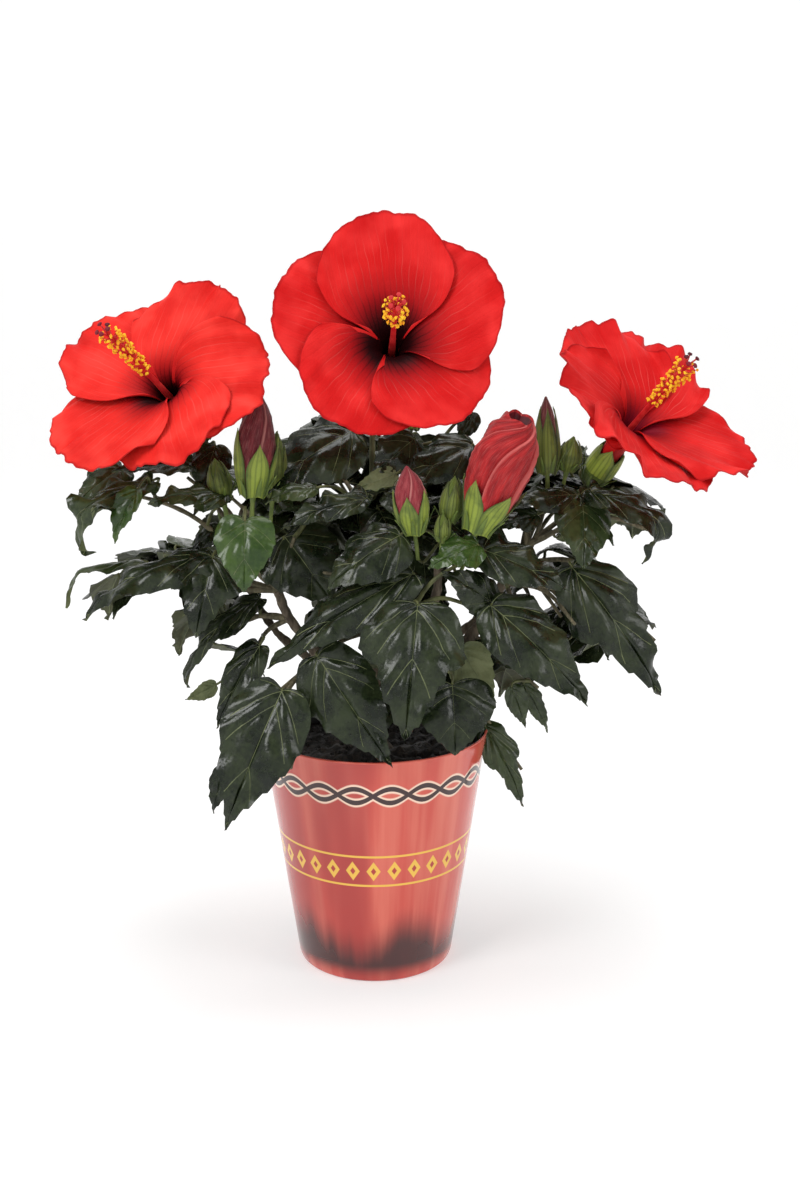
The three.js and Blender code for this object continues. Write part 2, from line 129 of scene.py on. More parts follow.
def spline_at(knots: Array, share: Array) -> Array:
    """Finds points of a smooth curve through knots.

    Args:
        knots: The points to pass through, one a row.
        share: How far through them each point is, from 0 to 1.

    Returns:
        The points, one a row.
    """
    padded = np.vstack([2 * knots[0] - knots[1], knots, 2 * knots[-1] - knots[-2]])
    at = share * (len(knots) - 1)
    i = np.minimum(at.astype(int), len(knots) - 2)
    f = (at - i)[:, None]
    a, b, c, d = (padded[i + k] for k in range(4))
    return 0.5 * (2 * b + (c - a) * f + (2 * a - 5 * b + 4 * c - d) * f**2 + (3 * b - a - 3 * c + d) * f**3)


def frames_along(path: Array) -> tuple[Array, Array, Array]:
    """Directions that turn as little as they can along a path.

    Args:
        path: The points of the path, one a row.

    Returns:
        The tangents, and two sets of directions across the path.
    """
    tangents = unit(np.gradient(path, axis=0))
    side = across(UP if abs(tangents[0][2]) < 0.9 else np.array([1.0, 0.0, 0.0]), tangents[0])
    sides = []
    for tangent in tangents:
        side = across(side, tangent)
        sides.append(side)
    sides_array = np.array(sides)
    return tangents, sides_array, np.cross(tangents, sides_array)


class Ripple:
    """A smooth seeded relief: waves in many directions, added up to lie about within -1 to 1."""

    def __init__(self, seed: int, shortest: float, longest: float, count: int = 9) -> None:
        """Draws the waves.

        Args:
            seed: The seed of the draw.
            shortest: The shortest wavelength.
            longest: The longest wavelength.
            count: How many waves to add.
        """
        draw = np.random.default_rng(seed)
        length = shortest * (longest / shortest) ** draw.random(count)
        self.pitch = unit(draw.normal(size=(count, 3))) * (tau / length)[:, None]
        self.phase = draw.random(count) * tau
        self.scale = 1.6 / sqrt(count)

    def at(self, points: Array) -> Array:
        """The relief at rows of points."""
        return np.sin(points @ self.pitch.T + self.phase).sum(-1) * self.scale


# ---- the frame's nodes


def node_points(node: str) -> Array:
    """Reads a node's own vertices.

    Args:
        node: The node's name.

    Returns:
        The points in millimetres, without repeats.
    """
    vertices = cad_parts[node].data.vertices
    flat = np.empty(len(vertices) * 3, np.float32)
    vertices.foreach_get("co", flat)
    return np.unique(np.round(flat.reshape(-1, 3).astype(float) / MM, 3), axis=0)


def node_box(node: str) -> Pair:
    """A node's lowest and highest corners, in millimetres."""
    low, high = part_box(node)
    return np.array(low) / MM, np.array(high) / MM


def place_in(node: str, share: Vec) -> Array:
    """The point at a share of a node's box along X, Y and Z."""
    low, high = node_box(node)
    return low + (high - low) * np.array(share)


def spine(node: str) -> Pair:
    """Finds the axis of a long round node.

    Args:
        node: The node's name.

    Returns:
        The ends of the axis, the lower end first.
    """
    points = node_points(node)
    centre = points.mean(0)
    direction = np.linalg.svd(points - centre, full_matrices=False)[2][0]
    direction = direction * (1.0 if direction[2] > 0 else -1.0)
    along = (points - centre) @ direction
    return centre + direction * along.min(), centre + direction * along.max()


def centreline(node: str, gap: float = 2.5) -> Pair:
    """The middle line of a limb node, found from its rings.

    Args:
        node: The limb's name.
        gap: The least distance between one ring and the next along the limb.

    Returns:
        The rings' middles, the lowest first, and their radii.
    """
    points = node_points(node)
    foot, tip = spine(node)
    along = (points - foot) @ unit(tip - foot)
    order = np.argsort(along)
    cuts = np.nonzero(np.diff(along[order]) > gap)[0] + 1
    rings = [points[group] for group in np.split(order, cuts) if len(group) >= 5]
    middles = np.array([ring.mean(0) for ring in rings])
    radii = np.array([np.linalg.norm(ring - ring.mean(0), axis=1).max() for ring in rings])
    return middles, radii


# ---- meshes


def grid_faces(rows: int, columns: int, wrap: bool = False) -> Array:
    """The quads of a grid of points.

    Args:
        rows: How many rows of points it has.
        columns: How many points a row has.
        wrap: Whether the last column joins on to the first.

    Returns:
        Four corner numbers for each quad.
    """
    i, j = np.meshgrid(np.arange(rows - 1), np.arange(columns if wrap else columns - 1), indexing="ij")
    i, j = i.ravel(), j.ravel()
    k = (j + 1) % columns
    return np.stack([i * columns + j, i * columns + k, (i + 1) * columns + k, (i + 1) * columns + j], 1)


def grid_normals(grid: Array) -> Array:
    """The direction that each point of a grid faces: its rows' direction crossed with its columns'."""
    return unit(np.cross(np.gradient(grid, axis=1), np.gradient(grid, axis=0)))


@dataclass
class Skin:
    """Faces gathered for one joined piece, in millimetres."""

    points: list[Array] = field(default_factory=list)
    faces: list[Array] = field(default_factory=list)
    finishes: list[Array] = field(default_factory=list)
    maps: list[Array] = field(default_factory=list)
    count: int = 0

    def add(self, points: Array, faces: Array, finish: int = 0, mapped: Array | None = None) -> None:
        """Adds a set of faces.

        Args:
            points: The corners, one a row.
            faces: Rows of 3 or 4 numbers of corners.
            finish: Which of the piece's materials they take.
            mapped: A place on the surface map for each corner, or None for no place.
        """
        self.points.append(points)
        self.faces.append(faces + self.count)
        self.finishes.append(np.full(len(faces), finish))
        self.maps.append(np.zeros((len(points), 2)) if mapped is None else mapped)
        self.count += len(points)

    def add_grid(self, grid: Array, finish: int = 0, mapped: Array | None = None, wrap: bool = False,
                 flip: bool = False) -> None:
        """Adds a grid of points as quads.

        Args:
            grid: Points by row and column.
            finish: Which of the piece's materials they take.
            mapped: A place on the surface map for each point.
            wrap: Whether the last column joins on to the first.
            flip: Whether to turn the faces over. They keep the same diagonals.
        """
        quads = grid_faces(*grid.shape[:2], wrap)
        places = None if mapped is None else mapped.reshape(-1, 2)
        self.add(grid.reshape(-1, 3), quads[:, [0, 3, 2, 1]] if flip else quads, finish, places)

    def add_fan(self, ring: Array, middle: Array, finish: int = 0, flip: bool = False) -> None:
        """Closes a ring of points with a fan of faces.

        Args:
            ring: The points round the edge.
            middle: The point that the faces meet in.
            finish: Which of the piece's materials they take.
            flip: Whether to turn the faces over.
        """
        here = np.arange(len(ring))
        fan = np.stack([here, (here + 1) % len(ring), np.full(len(ring), len(ring))], 1)
        self.add(np.vstack([ring, middle]), fan[:, ::-1] if flip else fan, finish)

    def add_tube(self, path: Array, radii: Array, sides: int, finish: int = 0,
                 relief: Callable[[Array, Array], Array] | None = None) -> None:
        """Adds a closed round limb along a path.

        Args:
            path: The points of its middle line.
            radii: Its radius at each point.
            sides: How many faces go round it.
            finish: Which material it takes.
            relief: Takes the points and the length run along the limb, and gives how far each stands out.
        """
        _, side, other = frames_along(path)
        turn = turns(sides)
        outward = side[:, None] * np.cos(turn)[None, :, None] + other[:, None] * np.sin(turn)[None, :, None]
        run = np.concatenate([[0.0], np.cumsum(np.linalg.norm(np.diff(path, axis=0), axis=1))])
        grid = path[:, None] + outward * np.asarray(radii)[:, None, None]
        if relief is not None:
            grid = grid + outward * relief(grid, run)[..., None]
        self.add_grid(grid, finish, stacked(turn[None] / tau, run[:, None] / 100), wrap=True)
        self.add_fan(grid[0], path[0], finish, flip=True)
        self.add_fan(grid[-1], path[-1], finish)

    def add_sheet(self, grid: Array, thickness: float, finishes: tuple[int, int], mapped: Array) -> None:
        """Adds a thin closed sheet over a grid, with a front, a back and a rim.

        Args:
            grid: Points by row and column on the sheet's middle.
            thickness: How thick it is.
            finishes: The materials of its front and its back.
            mapped: A place on the surface map for each point.
        """
        normals = grid_normals(grid)
        front = grid + normals * (thickness / 2)
        back = grid - normals * (thickness / 2)
        rows, columns = grid.shape[:2]
        self.add_grid(front, finishes[0], mapped)
        self.add_grid(back, finishes[1], mapped, flip=True)
        edge = np.concatenate([
            np.arange(columns),
            np.arange(1, rows) * columns + columns - 1,
            (rows - 1) * columns + np.arange(columns - 2, -1, -1),
            np.arange(rows - 2, 0, -1) * columns,
        ])
        rim = np.stack([front.reshape(-1, 3)[edge], back.reshape(-1, 3)[edge]])
        places = np.repeat(mapped.reshape(-1, 2)[edge][None], 2, 0)
        self.add_grid(rim, finishes[0], places, wrap=True, flip=True)

    def add_ball(self, centre: Array, axes: Array, finish: int = 0, rows: int = 5, sides: int = 8,
                 relief: Ripple | None = None, lump: float = 0.0) -> None:
        """Adds a small closed rounded body.

        Args:
            centre: Its middle.
            axes: Its three half axes, one a row.
            finish: Which material it takes.
            rows: How many rings it has between its poles.
            sides: How many faces go round it.
            relief: What makes it uneven.
            lump: How far the unevenness goes, as a share of its size.
        """
        rise = np.linspace(-pi / 2, pi / 2, rows + 2)[1:-1, None]
        turn = turns(sides)
        ball = stacked(np.cos(rise) * np.cos(turn), np.cos(rise) * np.sin(turn), np.sin(rise))
        grid = centre + ball @ axes
        if relief is not None:
            grid = centre + (grid - centre) * (1 + lump * relief.at(grid))[..., None]
        self.add_grid(grid, finish, wrap=True)
        self.add_fan(grid[0], centre - axes[2], finish, flip=True)
        self.add_fan(grid[-1], centre + axes[2], finish)

    def build(self, name: str, materials: Sequence[Material], sharp: float = 180.0) -> bpy.types.Object:
        """Makes the object.

        Args:
            name: Its name.
            materials: Its materials, in the order that the faces' finishes count them.
            sharp: The angle above which an edge is sharp.

        Returns:
            The new object, linked to the scene.
        """
        mesh = bpy.data.meshes.new(name)
        points = np.vstack(self.points) * MM
        corners = np.concatenate([faces.ravel() for faces in self.faces]).astype(np.int32)
        sizes = np.concatenate([np.full(len(faces), faces.shape[1]) for faces in self.faces])
        mesh.vertices.add(len(points))
        mesh.vertices.foreach_set("co", points.astype(np.float32).ravel())
        mesh.loops.add(len(corners))
        mesh.loops.foreach_set("vertex_index", corners)
        mesh.polygons.add(len(sizes))
        mesh.polygons.foreach_set("loop_start", (np.cumsum(sizes) - sizes).astype(np.int32))
        mesh.polygons.foreach_set("material_index", np.concatenate(self.finishes).astype(np.int32))
        mesh.polygons.foreach_set("use_smooth", np.ones(len(sizes), bool))
        mesh.update(calc_edges=True)
        layer = mesh.uv_layers.new(name=SURFACE_MAP)
        layer.uv.foreach_set("vector", np.vstack(self.maps)[corners].astype(np.float32).ravel())
        mesh.set_sharp_from_angle(angle=radians(sharp))
        for material in materials:
            mesh.materials.append(material)
        obj = bpy.data.objects.new(name, mesh)
        bpy.context.scene.collection.objects.link(obj)
        return obj

    def hand_over(self, name: str, materials: Sequence[Material], slot: Slot, named: Sequence[str] = (),
                  sharp: float = 180.0, welded: bool = False) -> None:
        """Makes the piece and hands it to the frame.

        Args:
            name: Its name.
            materials: Its materials, in order.
            slot: Its material slot; not used.
            named: The nodes that it stands for.
            sharp: The angle above which an edge is sharp.
            welded: Whether corners that lie together are joined.
        """
        obj = self.build(name, materials, sharp)
        if welded:
            weld(obj)
        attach(obj, BODY)
        if named:
            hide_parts(*named)
        LOG.info("%s: %d faces, stands for %s", obj.name, len(obj.data.polygons), ", ".join(named) or "nothing")


def weld(obj: bpy.types.Object) -> None:
    """Joins corners of a mesh that lie together.

    Args:
        obj: The mesh's object.
    """
    work = bmesh.new()
    work.from_mesh(obj.data)
    bmesh.ops.remove_doubles(work, verts=work.verts, dist=WELD_DISTANCE)
    work.to_mesh(obj.data)
    work.free()


# ---- materials


@dataclass(frozen=True)
class Amount:
    """What a node gives at each point of a surface. Numbers take part in sums as plain numbers do."""

    shader: "Shader"
    socket: Socket

    def sum(self, operation: str, *values: Number) -> "Amount":
        """One of the math node's sums, on this and the values."""
        return self.shader.add("Math", dict(enumerate((self, *values))), 0, operation=operation)

    def __add__(self, other: Number) -> "Amount":
        """This and the other."""
        return self.sum("ADD", other)

    def __sub__(self, other: Number) -> "Amount":
        """This less the other."""
        return self.sum("SUBTRACT", other)

    def __mul__(self, other: Number) -> "Amount":
        """This times the other."""
        return self.sum("MULTIPLY", other)

    def __pow__(self, other: Number) -> "Amount":
        """This to the power of the other."""
        return self.sum("POWER", other)

    def __abs__(self) -> "Amount":
        """This without its sign."""
        return self.sum("ABSOLUTE")

    def spread(self, low: float, high: float, to_low: float = 0.0, to_high: float = 1.0) -> "Amount":
        """Maps low to high on to another range, smoothly and without overshoot."""
        ends = {"From Min": low, "From Max": high, "To Min": to_low, "To Max": to_high}
        return self.shader.add("MapRange", {"Value": self, **ends}, "Result", interpolation_type="SMOOTHSTEP")

    def mix(self, share: Number, other: object) -> "Amount":
        """This colour, with a share of another mixed in."""
        return self.shader.mix(share, self, other)

    def lines(self, count: float, sharpness: float) -> "Amount":
        """Thin lines, count of them as this goes from 0 to 1: 1 on a line and 0 midway between two."""
        return (abs((self * (pi * count)).sum("SINE")) * -1.0 + 1.0) ** sharpness


class Shader:
    """A material's node tree, built one node at a time."""

    def __init__(self, name: str) -> None:
        """Starts a material with an empty Principled surface.

        Args:
            name: The material's name.
        """
        self.material = bpy.data.materials.new(name)
        self.material.use_nodes = True
        self.tree = self.material.node_tree
        self.tree.nodes.clear()
        self.surface = self.tree.nodes.new("ShaderNodeBsdfPrincipled")
        output = self.tree.nodes.new("ShaderNodeOutputMaterial")
        self.tree.links.new(self.surface.outputs["BSDF"], output.inputs["Surface"])

    def give(self, target: Socket, value: object) -> None:
        """Links what a node gives to a target, or sets a plain value on it.

        Args:
            target: The input.
            value: A node's amount, a number or a colour.
        """
        if isinstance(value, Amount):
            self.tree.links.new(value.socket, target)
        elif target.type == "RGBA" and len(value) == 3:
            target.default_value = (*value, 1.0)
        else:
            target.default_value = value

    def add(self, kind: str, inputs: dict[str | int, object], output: str | int, **settings: object) -> Amount:
        """Adds a node.

        Args:
            kind: The node's type, without the ShaderNode in front.
            inputs: What goes into each input, by name or number.
            output: The name or number of the output that is wanted.
            **settings: The node's own settings.

        Returns:
            What that output gives.
        """
        node = self.tree.nodes.new("ShaderNode" + kind)
        for name, value in settings.items():
            setattr(node, name, value)
        for name, value in inputs.items():
            self.give(node.inputs[name], value)
        return Amount(self, node.outputs[output])

    def mapped(self) -> tuple[Amount, ...]:
        """Where a point is on the surface map, across and along."""
        place = self.add("UVMap", {}, "UV", uv_map=SURFACE_MAP)
        return tuple(self.add("SeparateXYZ", {"Vector": place}, axis) for axis in "XY")

    def noise(self, scale: float, detail: float = 3.0, vector: Amount | None = None,
              stretch: Vec | None = None) -> Amount:
        """Adds cloudy noise.

        Args:
            scale: Waves a metre, where no vector is given.
            detail: How fine it goes.
            vector: Where to read it, or None for the place on the object.
            stretch: The scale along each axis.

        Returns:
            How strong it is, from 0 to 1.
        """
        source = vector or self.add("TexCoord", {}, "Object")
        if stretch:
            source = self.add("Mapping", {"Vector": source, "Scale": stretch}, "Vector")
        return self.add("TexNoise", {"Vector": source, "Scale": scale, "Detail": detail}, "Fac")

    def cells(self, scale: float) -> Amount:
        """The distance to the nearest of many scattered points."""
        place = self.add("TexCoord", {}, "Object")
        return self.add("TexVoronoi", {"Vector": place, "Scale": scale}, "Distance")

    def mix(self, share: Number, first: object, second: object) -> Amount:
        """Mixes two colours."""
        return self.add("Mix", {0: share, 6: first, 7: second}, 2, data_type="RGBA")

    def vector(self, x: Number, y: Number, z: Number = 0.0) -> Amount:
        """Puts three values together as a vector."""
        return self.add("CombineXYZ", {"X": x, "Y": y, "Z": z}, "Vector")

    def bump(self, height: Amount, distance: float, strength: float, under: Amount | None = None) -> Amount:
        """Fine relief, distance metres deep, on top of what is under it."""
        inputs = {"Height": height, "Distance": distance, "Strength": strength}
        return self.add("Bump", {**inputs, "Normal": under} if under else inputs, "Normal")

    def set(self, **inputs: object) -> Material:
        """Gives the surface its inputs.

        Args:
            **inputs: What goes into each, with spaces in its name written as underscores.

        Returns:
            The material.
        """
        for name, value in inputs.items():
            self.give(self.surface.inputs[name.replace("_", " ")], value)
        return self.material


def made(*finishes: object) -> list[Material]:
    """The materials of some finishes."""
    return [finish.material() for finish in finishes]


# ---- pot and compost


@dataclass(frozen=True)
class PotFinish:
    """Glossy printed plastic outside and plain black plastic inside."""

    coral: Colour = (0.56, 0.062, 0.04)
    blush: Colour = (0.66, 0.145, 0.096)
    deep: Colour = (0.4, 0.03, 0.022)
    maroon: Colour = (0.03, 0.006, 0.006)
    gold: Colour = (0.8, 0.48, 0.06)
    cream: Colour = (0.86, 0.62, 0.48)
    black: Colour = (0.012, 0.011, 0.011)
    waves_round: int = 5
    beads_round: int = 30

    def band(self, height: Amount, middle: Number, half: float, soft: float) -> Amount:
        """A soft-edged level band on the wall, as a share from 0 to 1."""
        return abs(height - middle).spread(half + soft, half)

    def wave(self, turn: Amount, middle: float, swing: float, count: int, start: float) -> Amount:
        """The height of a line that waves round the wall."""
        return (turn * (tau * count) + start).sum("SINE") * swing + middle

    def print_material(self) -> Material:
        """Coral with soft upright streaks, a dusky foot, a waved ribbon and a frieze of gold beads.

        Returns:
            The material.
        """
        shader = Shader("pot_print")
        turn, height = shader.mapped()
        angle = turn * tau
        ring = shader.vector(angle.sum("COSINE"), angle.sum("SINE"), height)
        streaks = shader.noise(4.2, 4.0, ring, (1.0, 1.0, 0.16))
        folds = shader.noise(1.5, 2.0, ring, (1.0, 1.0, 0.35))
        colour = shader.mix(streaks.spread(0.4, 0.66), self.coral, self.blush)
        colour = colour.mix(folds.spread(0.56, 0.38), self.deep)
        dusk_top = self.wave(turn, 0.27, 0.055, self.waves_round, 1.1)
        dusk = (streaks * 0.2 + height - 0.1 - dusk_top).spread(0.03, -0.17, 0.0, 0.95)
        colour = colour.mix(dusk * height.spread(0.015, 0.085), self.maroon)
        colour = self.beads(turn, height, self.ribbon(turn, height, colour))
        rough = shader.noise(60.0, 2.0).spread(0.3, 0.7, 0.17, 0.24)
        ripple = shader.bump(shader.noise(26.0, 1.0), 0.0006, 0.25)
        return shader.set(Base_Color=colour, Roughness=rough, Normal=ripple, IOR=1.5, Coat_Weight=0.35,
                          Coat_Roughness=0.09)

    def ribbon(self, turn: Amount, height: Amount, colour: Amount) -> Amount:
        """Draws two dark lines, edged with cream, that cross each other round the top of the wall.

        Args:
            turn: The share of the way round.
            height: The share of the way up.
            colour: What is under them.

        Returns:
            The colour with the lines.
        """
        for half, soft, tone in ((0.0155, 0.007, self.cream), (0.0095, 0.002, self.maroon)):
            for start in (0.0, pi):
                line = self.wave(turn, 0.855, 0.03, 2 * self.waves_round, start)
                colour = colour.mix(self.band(height, line, half, soft), tone)
        return colour

    def beads(self, turn: Amount, height: Amount, colour: Amount) -> Amount:
        """Draws a frieze of gold lozenges between two fine gold lines, round the lower wall.

        Args:
            turn: The share of the way round.
            height: The share of the way up.
            colour: What is under them.

        Returns:
            The colour with the frieze.
        """
        for middle in (0.455, 0.585):
            colour = colour.mix(self.band(height, middle, 0.0035, 0.002), self.gold)
        side = abs((turn * self.beads_round).sum("FRACT") - 0.5)
        lozenge = abs(height - 0.52) * 8.0 + side
        colour = colour.mix(lozenge.spread(0.36, 0.32), self.gold)
        return colour.mix(lozenge.spread(0.15, 0.11), self.deep)

    def inside_material(self) -> Material:
        """Plain black plastic with a faint grain.

        Returns:
            The material.
        """
        shader = Shader("pot_inside")
        grain = shader.noise(900.0, 2.0)
        colour = shader.mix(grain, self.black, (0.02, 0.019, 0.018))
        return shader.set(Base_Color=colour, Roughness=0.38, Normal=shader.bump(grain, 0.0001, 0.4), IOR=1.5)

    def rim_material(self) -> Material:
        """The bare coral edge of the sheet, a little paler than the print.

        Returns:
            The material.
        """
        shader = Shader("pot_rim")
        colour = shader.mix(shader.noise(150.0, 2.0), self.coral, self.blush)
        return shader.set(Base_Color=colour, Roughness=0.3, IOR=1.5)


@dataclass
class Pot:
    """The tapered pot: a thin wall with a rolled edge, standing on a foot ring."""

    node: str = "pot"
    foot_radius: float = 48.0
    wall: float = 1.5
    floor: float = 2.2
    foot_round: float = 2.6
    recess: float = 1.4
    recess_radius: float = 42.0
    sides: int = 160
    wall_rows: int = 46
    finish: PotFinish = field(default_factory=PotFinish)

    def outline(self) -> Pair:
        """The wall's section.

        Returns:
            Radius and height down the middle of the base, out, up the wall and down inside; and the material
            of each stretch between two points.
        """
        low, high = node_box(self.node)
        height = high[2] - low[2]
        top = (high[0] - low[0]) / 2
        slope = (top - self.foot_radius) / height
        foot, edge, inner = self.foot_radius - self.foot_round, self.wall / 2, self.foot_radius - self.wall
        bends = [pi * k / 6 for k in range(7)]
        outside = np.linspace(self.foot_round + 1, height - 1.0, self.wall_rows)
        stretches = (
            (1, [(0.0, self.recess), (self.recess_radius, self.recess), (self.recess_radius + 1.2, 0.0)]),
            (0, [(foot + self.foot_round * sin(turn / 2), self.foot_round * (1 - cos(turn / 2)))
                 for turn in bends]),
            (0, [(self.foot_radius + slope * z, z) for z in outside]),
            (2, [(top - edge + edge * cos(turn), height - edge + edge * sin(turn)) for turn in bends]),
            (1, [(inner + slope * z, z) for z in np.linspace(height - 2.0, self.floor + 2, 12)]),
            (1, [(inner - 2, self.floor), (0.0, self.floor)]),
        )
        finishes = [finish for finish, stretch in stretches for _ in stretch]
        return np.array([point for _, stretch in stretches for point in stretch]), np.array(finishes[1:])

    def build(self) -> None:
        """Turns the section round the pot's axis."""
        outline, finishes = self.outline()
        low, high = node_box(self.node)
        middle = (low + high) / 2
        turn = np.linspace(0, tau, self.sides + 1)
        ring = np.stack([np.cos(turn), np.sin(turn)], 1)
        grid = np.zeros((len(outline), self.sides + 1, 3))
        grid[..., :2] = outline[:, 0, None, None] * ring[None] + middle[:2]
        grid[..., 2] = outline[:, 1, None] + low[2]
        mapped = stacked(turn[None] / tau, outline[:, 1, None] / high[2])
        grid[:, -1] = grid[:, 0]
        skin = Skin()
        for k, finish in enumerate(finishes):
            skin.add_grid(grid[k:k + 2], int(finish), mapped[k:k + 2])
        materials = [self.finish.print_material(), self.finish.inside_material(), self.finish.rim_material()]
        skin.hand_over("pot_shell", materials, Slot.POT, [self.node], 40.0, True)


@dataclass(frozen=True)
class SoilFinish:
    """Moist dark compost with paler fibres."""

    dark: Colour = (0.006, 0.004, 0.003)
    fibre: Colour = (0.034, 0.022, 0.013)

    def material(self) -> Material:
        """Clods and fibres with a rough, slightly damp surface.

        Returns:
            The material.
        """
        shader = Shader("compost")
        clods = shader.noise(260.0, 6.0)
        crumbs = shader.cells(420.0)
        colour = shader.mix(clods.spread(0.45, 0.75), self.dark, self.fibre)
        rough = shader.noise(70.0).spread(0.35, 0.65, 0.62, 0.95)
        return shader.set(Base_Color=colour, Roughness=rough, Normal=shader.bump(clods + crumbs, 0.0012, 0.8))


@dataclass
class Compost:
    """The compost in the pot: a crumbly top over the body that fills it."""

    node: str = "soil"
    roughness: float = 1.1
    rings: int = 44
    sides: int = 120
    headroom: float = 1.6
    foot_share: float = 0.72
    crumbs: int = 420
    crumb_size: tuple[float, float] = (0.8, 2.6)
    seed: int = 5
    finish: SoilFinish = field(default_factory=SoilFinish)

    def build(self) -> None:
        """Makes the body and strews it with crumbs."""
        low, high = node_box(self.node)
        radius = (high[0] - low[0]) / 2 - 0.2
        level = high[2] - self.headroom
        relief = Ripple(self.seed, 5.0, 26.0, 16)
        share = np.linspace(0.0, 1.0, self.rings)
        turn = turns(self.sides)
        ring = np.stack([np.cos(turn), np.sin(turn), np.zeros(self.sides)], 1)
        top = ring[None] * (share * radius)[:, None, None]
        top[..., 2] = level + relief.at(top) * self.roughness * ease(share * 4)[:, None]
        top[..., 2] -= (2.4 * ease((share - 0.86) / 0.14))[:, None]
        foot_radius = radius * self.foot_share
        side = ring[None] * np.linspace(radius, foot_radius, 6)[:, None, None]
        side[..., 2] = np.linspace(level - 3.4, low[2] + 0.4, 6)[:, None]
        bottom = ring[None] * np.array([foot_radius * 0.6, 0.0])[:, None, None]
        bottom[..., 2] = low[2] + 0.4
        skin = Skin()
        skin.add_grid(np.vstack([top, side, bottom]), wrap=True, flip=True)
        draw = np.random.default_rng(self.seed)
        for _ in range(self.crumbs):
            angle, out = draw.random() * tau, radius * 0.95 * sqrt(draw.random())
            size = draw.uniform(*self.crumb_size) * draw.uniform(0.5, 1.0)
            centre = np.array([out * cos(angle), out * sin(angle), level + size * 0.15])
            axes = np.diag(size * draw.uniform(0.55, 1.0, 3)) @ np.linalg.qr(draw.normal(size=(3, 3)))[0]
            skin.add_ball(centre, axes, 0, 3, 6, Ripple(int(draw.integers(1e6)), 2.0, 5.0, 4), 0.25)
        skin.hand_over("compost", [self.finish.material()], Slot.SOIL, [self.node], welded=True)


# ---- wood


@dataclass(frozen=True)
class BarkFinish:
    """Grey-brown bark with pale pores and cracks, greener on young wood."""

    name: str
    dark: Colour
    pale: Colour
    roughness: float = 0.78

    def material(self) -> Material:
        """Fine upright cracks, cloudy patches and scattered pores.

        Returns:
            The material.
        """
        shader = Shader(self.name)
        cracks = shader.noise(420.0, 5.0, None, (1.0, 1.0, 0.25))
        patches = shader.noise(60.0, 3.0)
        pores = shader.cells(300.0).spread(0.16, 0.1)
        colour = shader.mix((cracks + patches).spread(0.8, 1.25), self.dark, self.pale)
        colour = colour.mix(pores * 0.6, tuple(min(1.0, 1.5 * part) for part in self.pale))
        normal = shader.bump(cracks + pores, 0.0005, 0.7)
        return shader.set(Base_Color=colour, Roughness=self.roughness, Normal=normal)


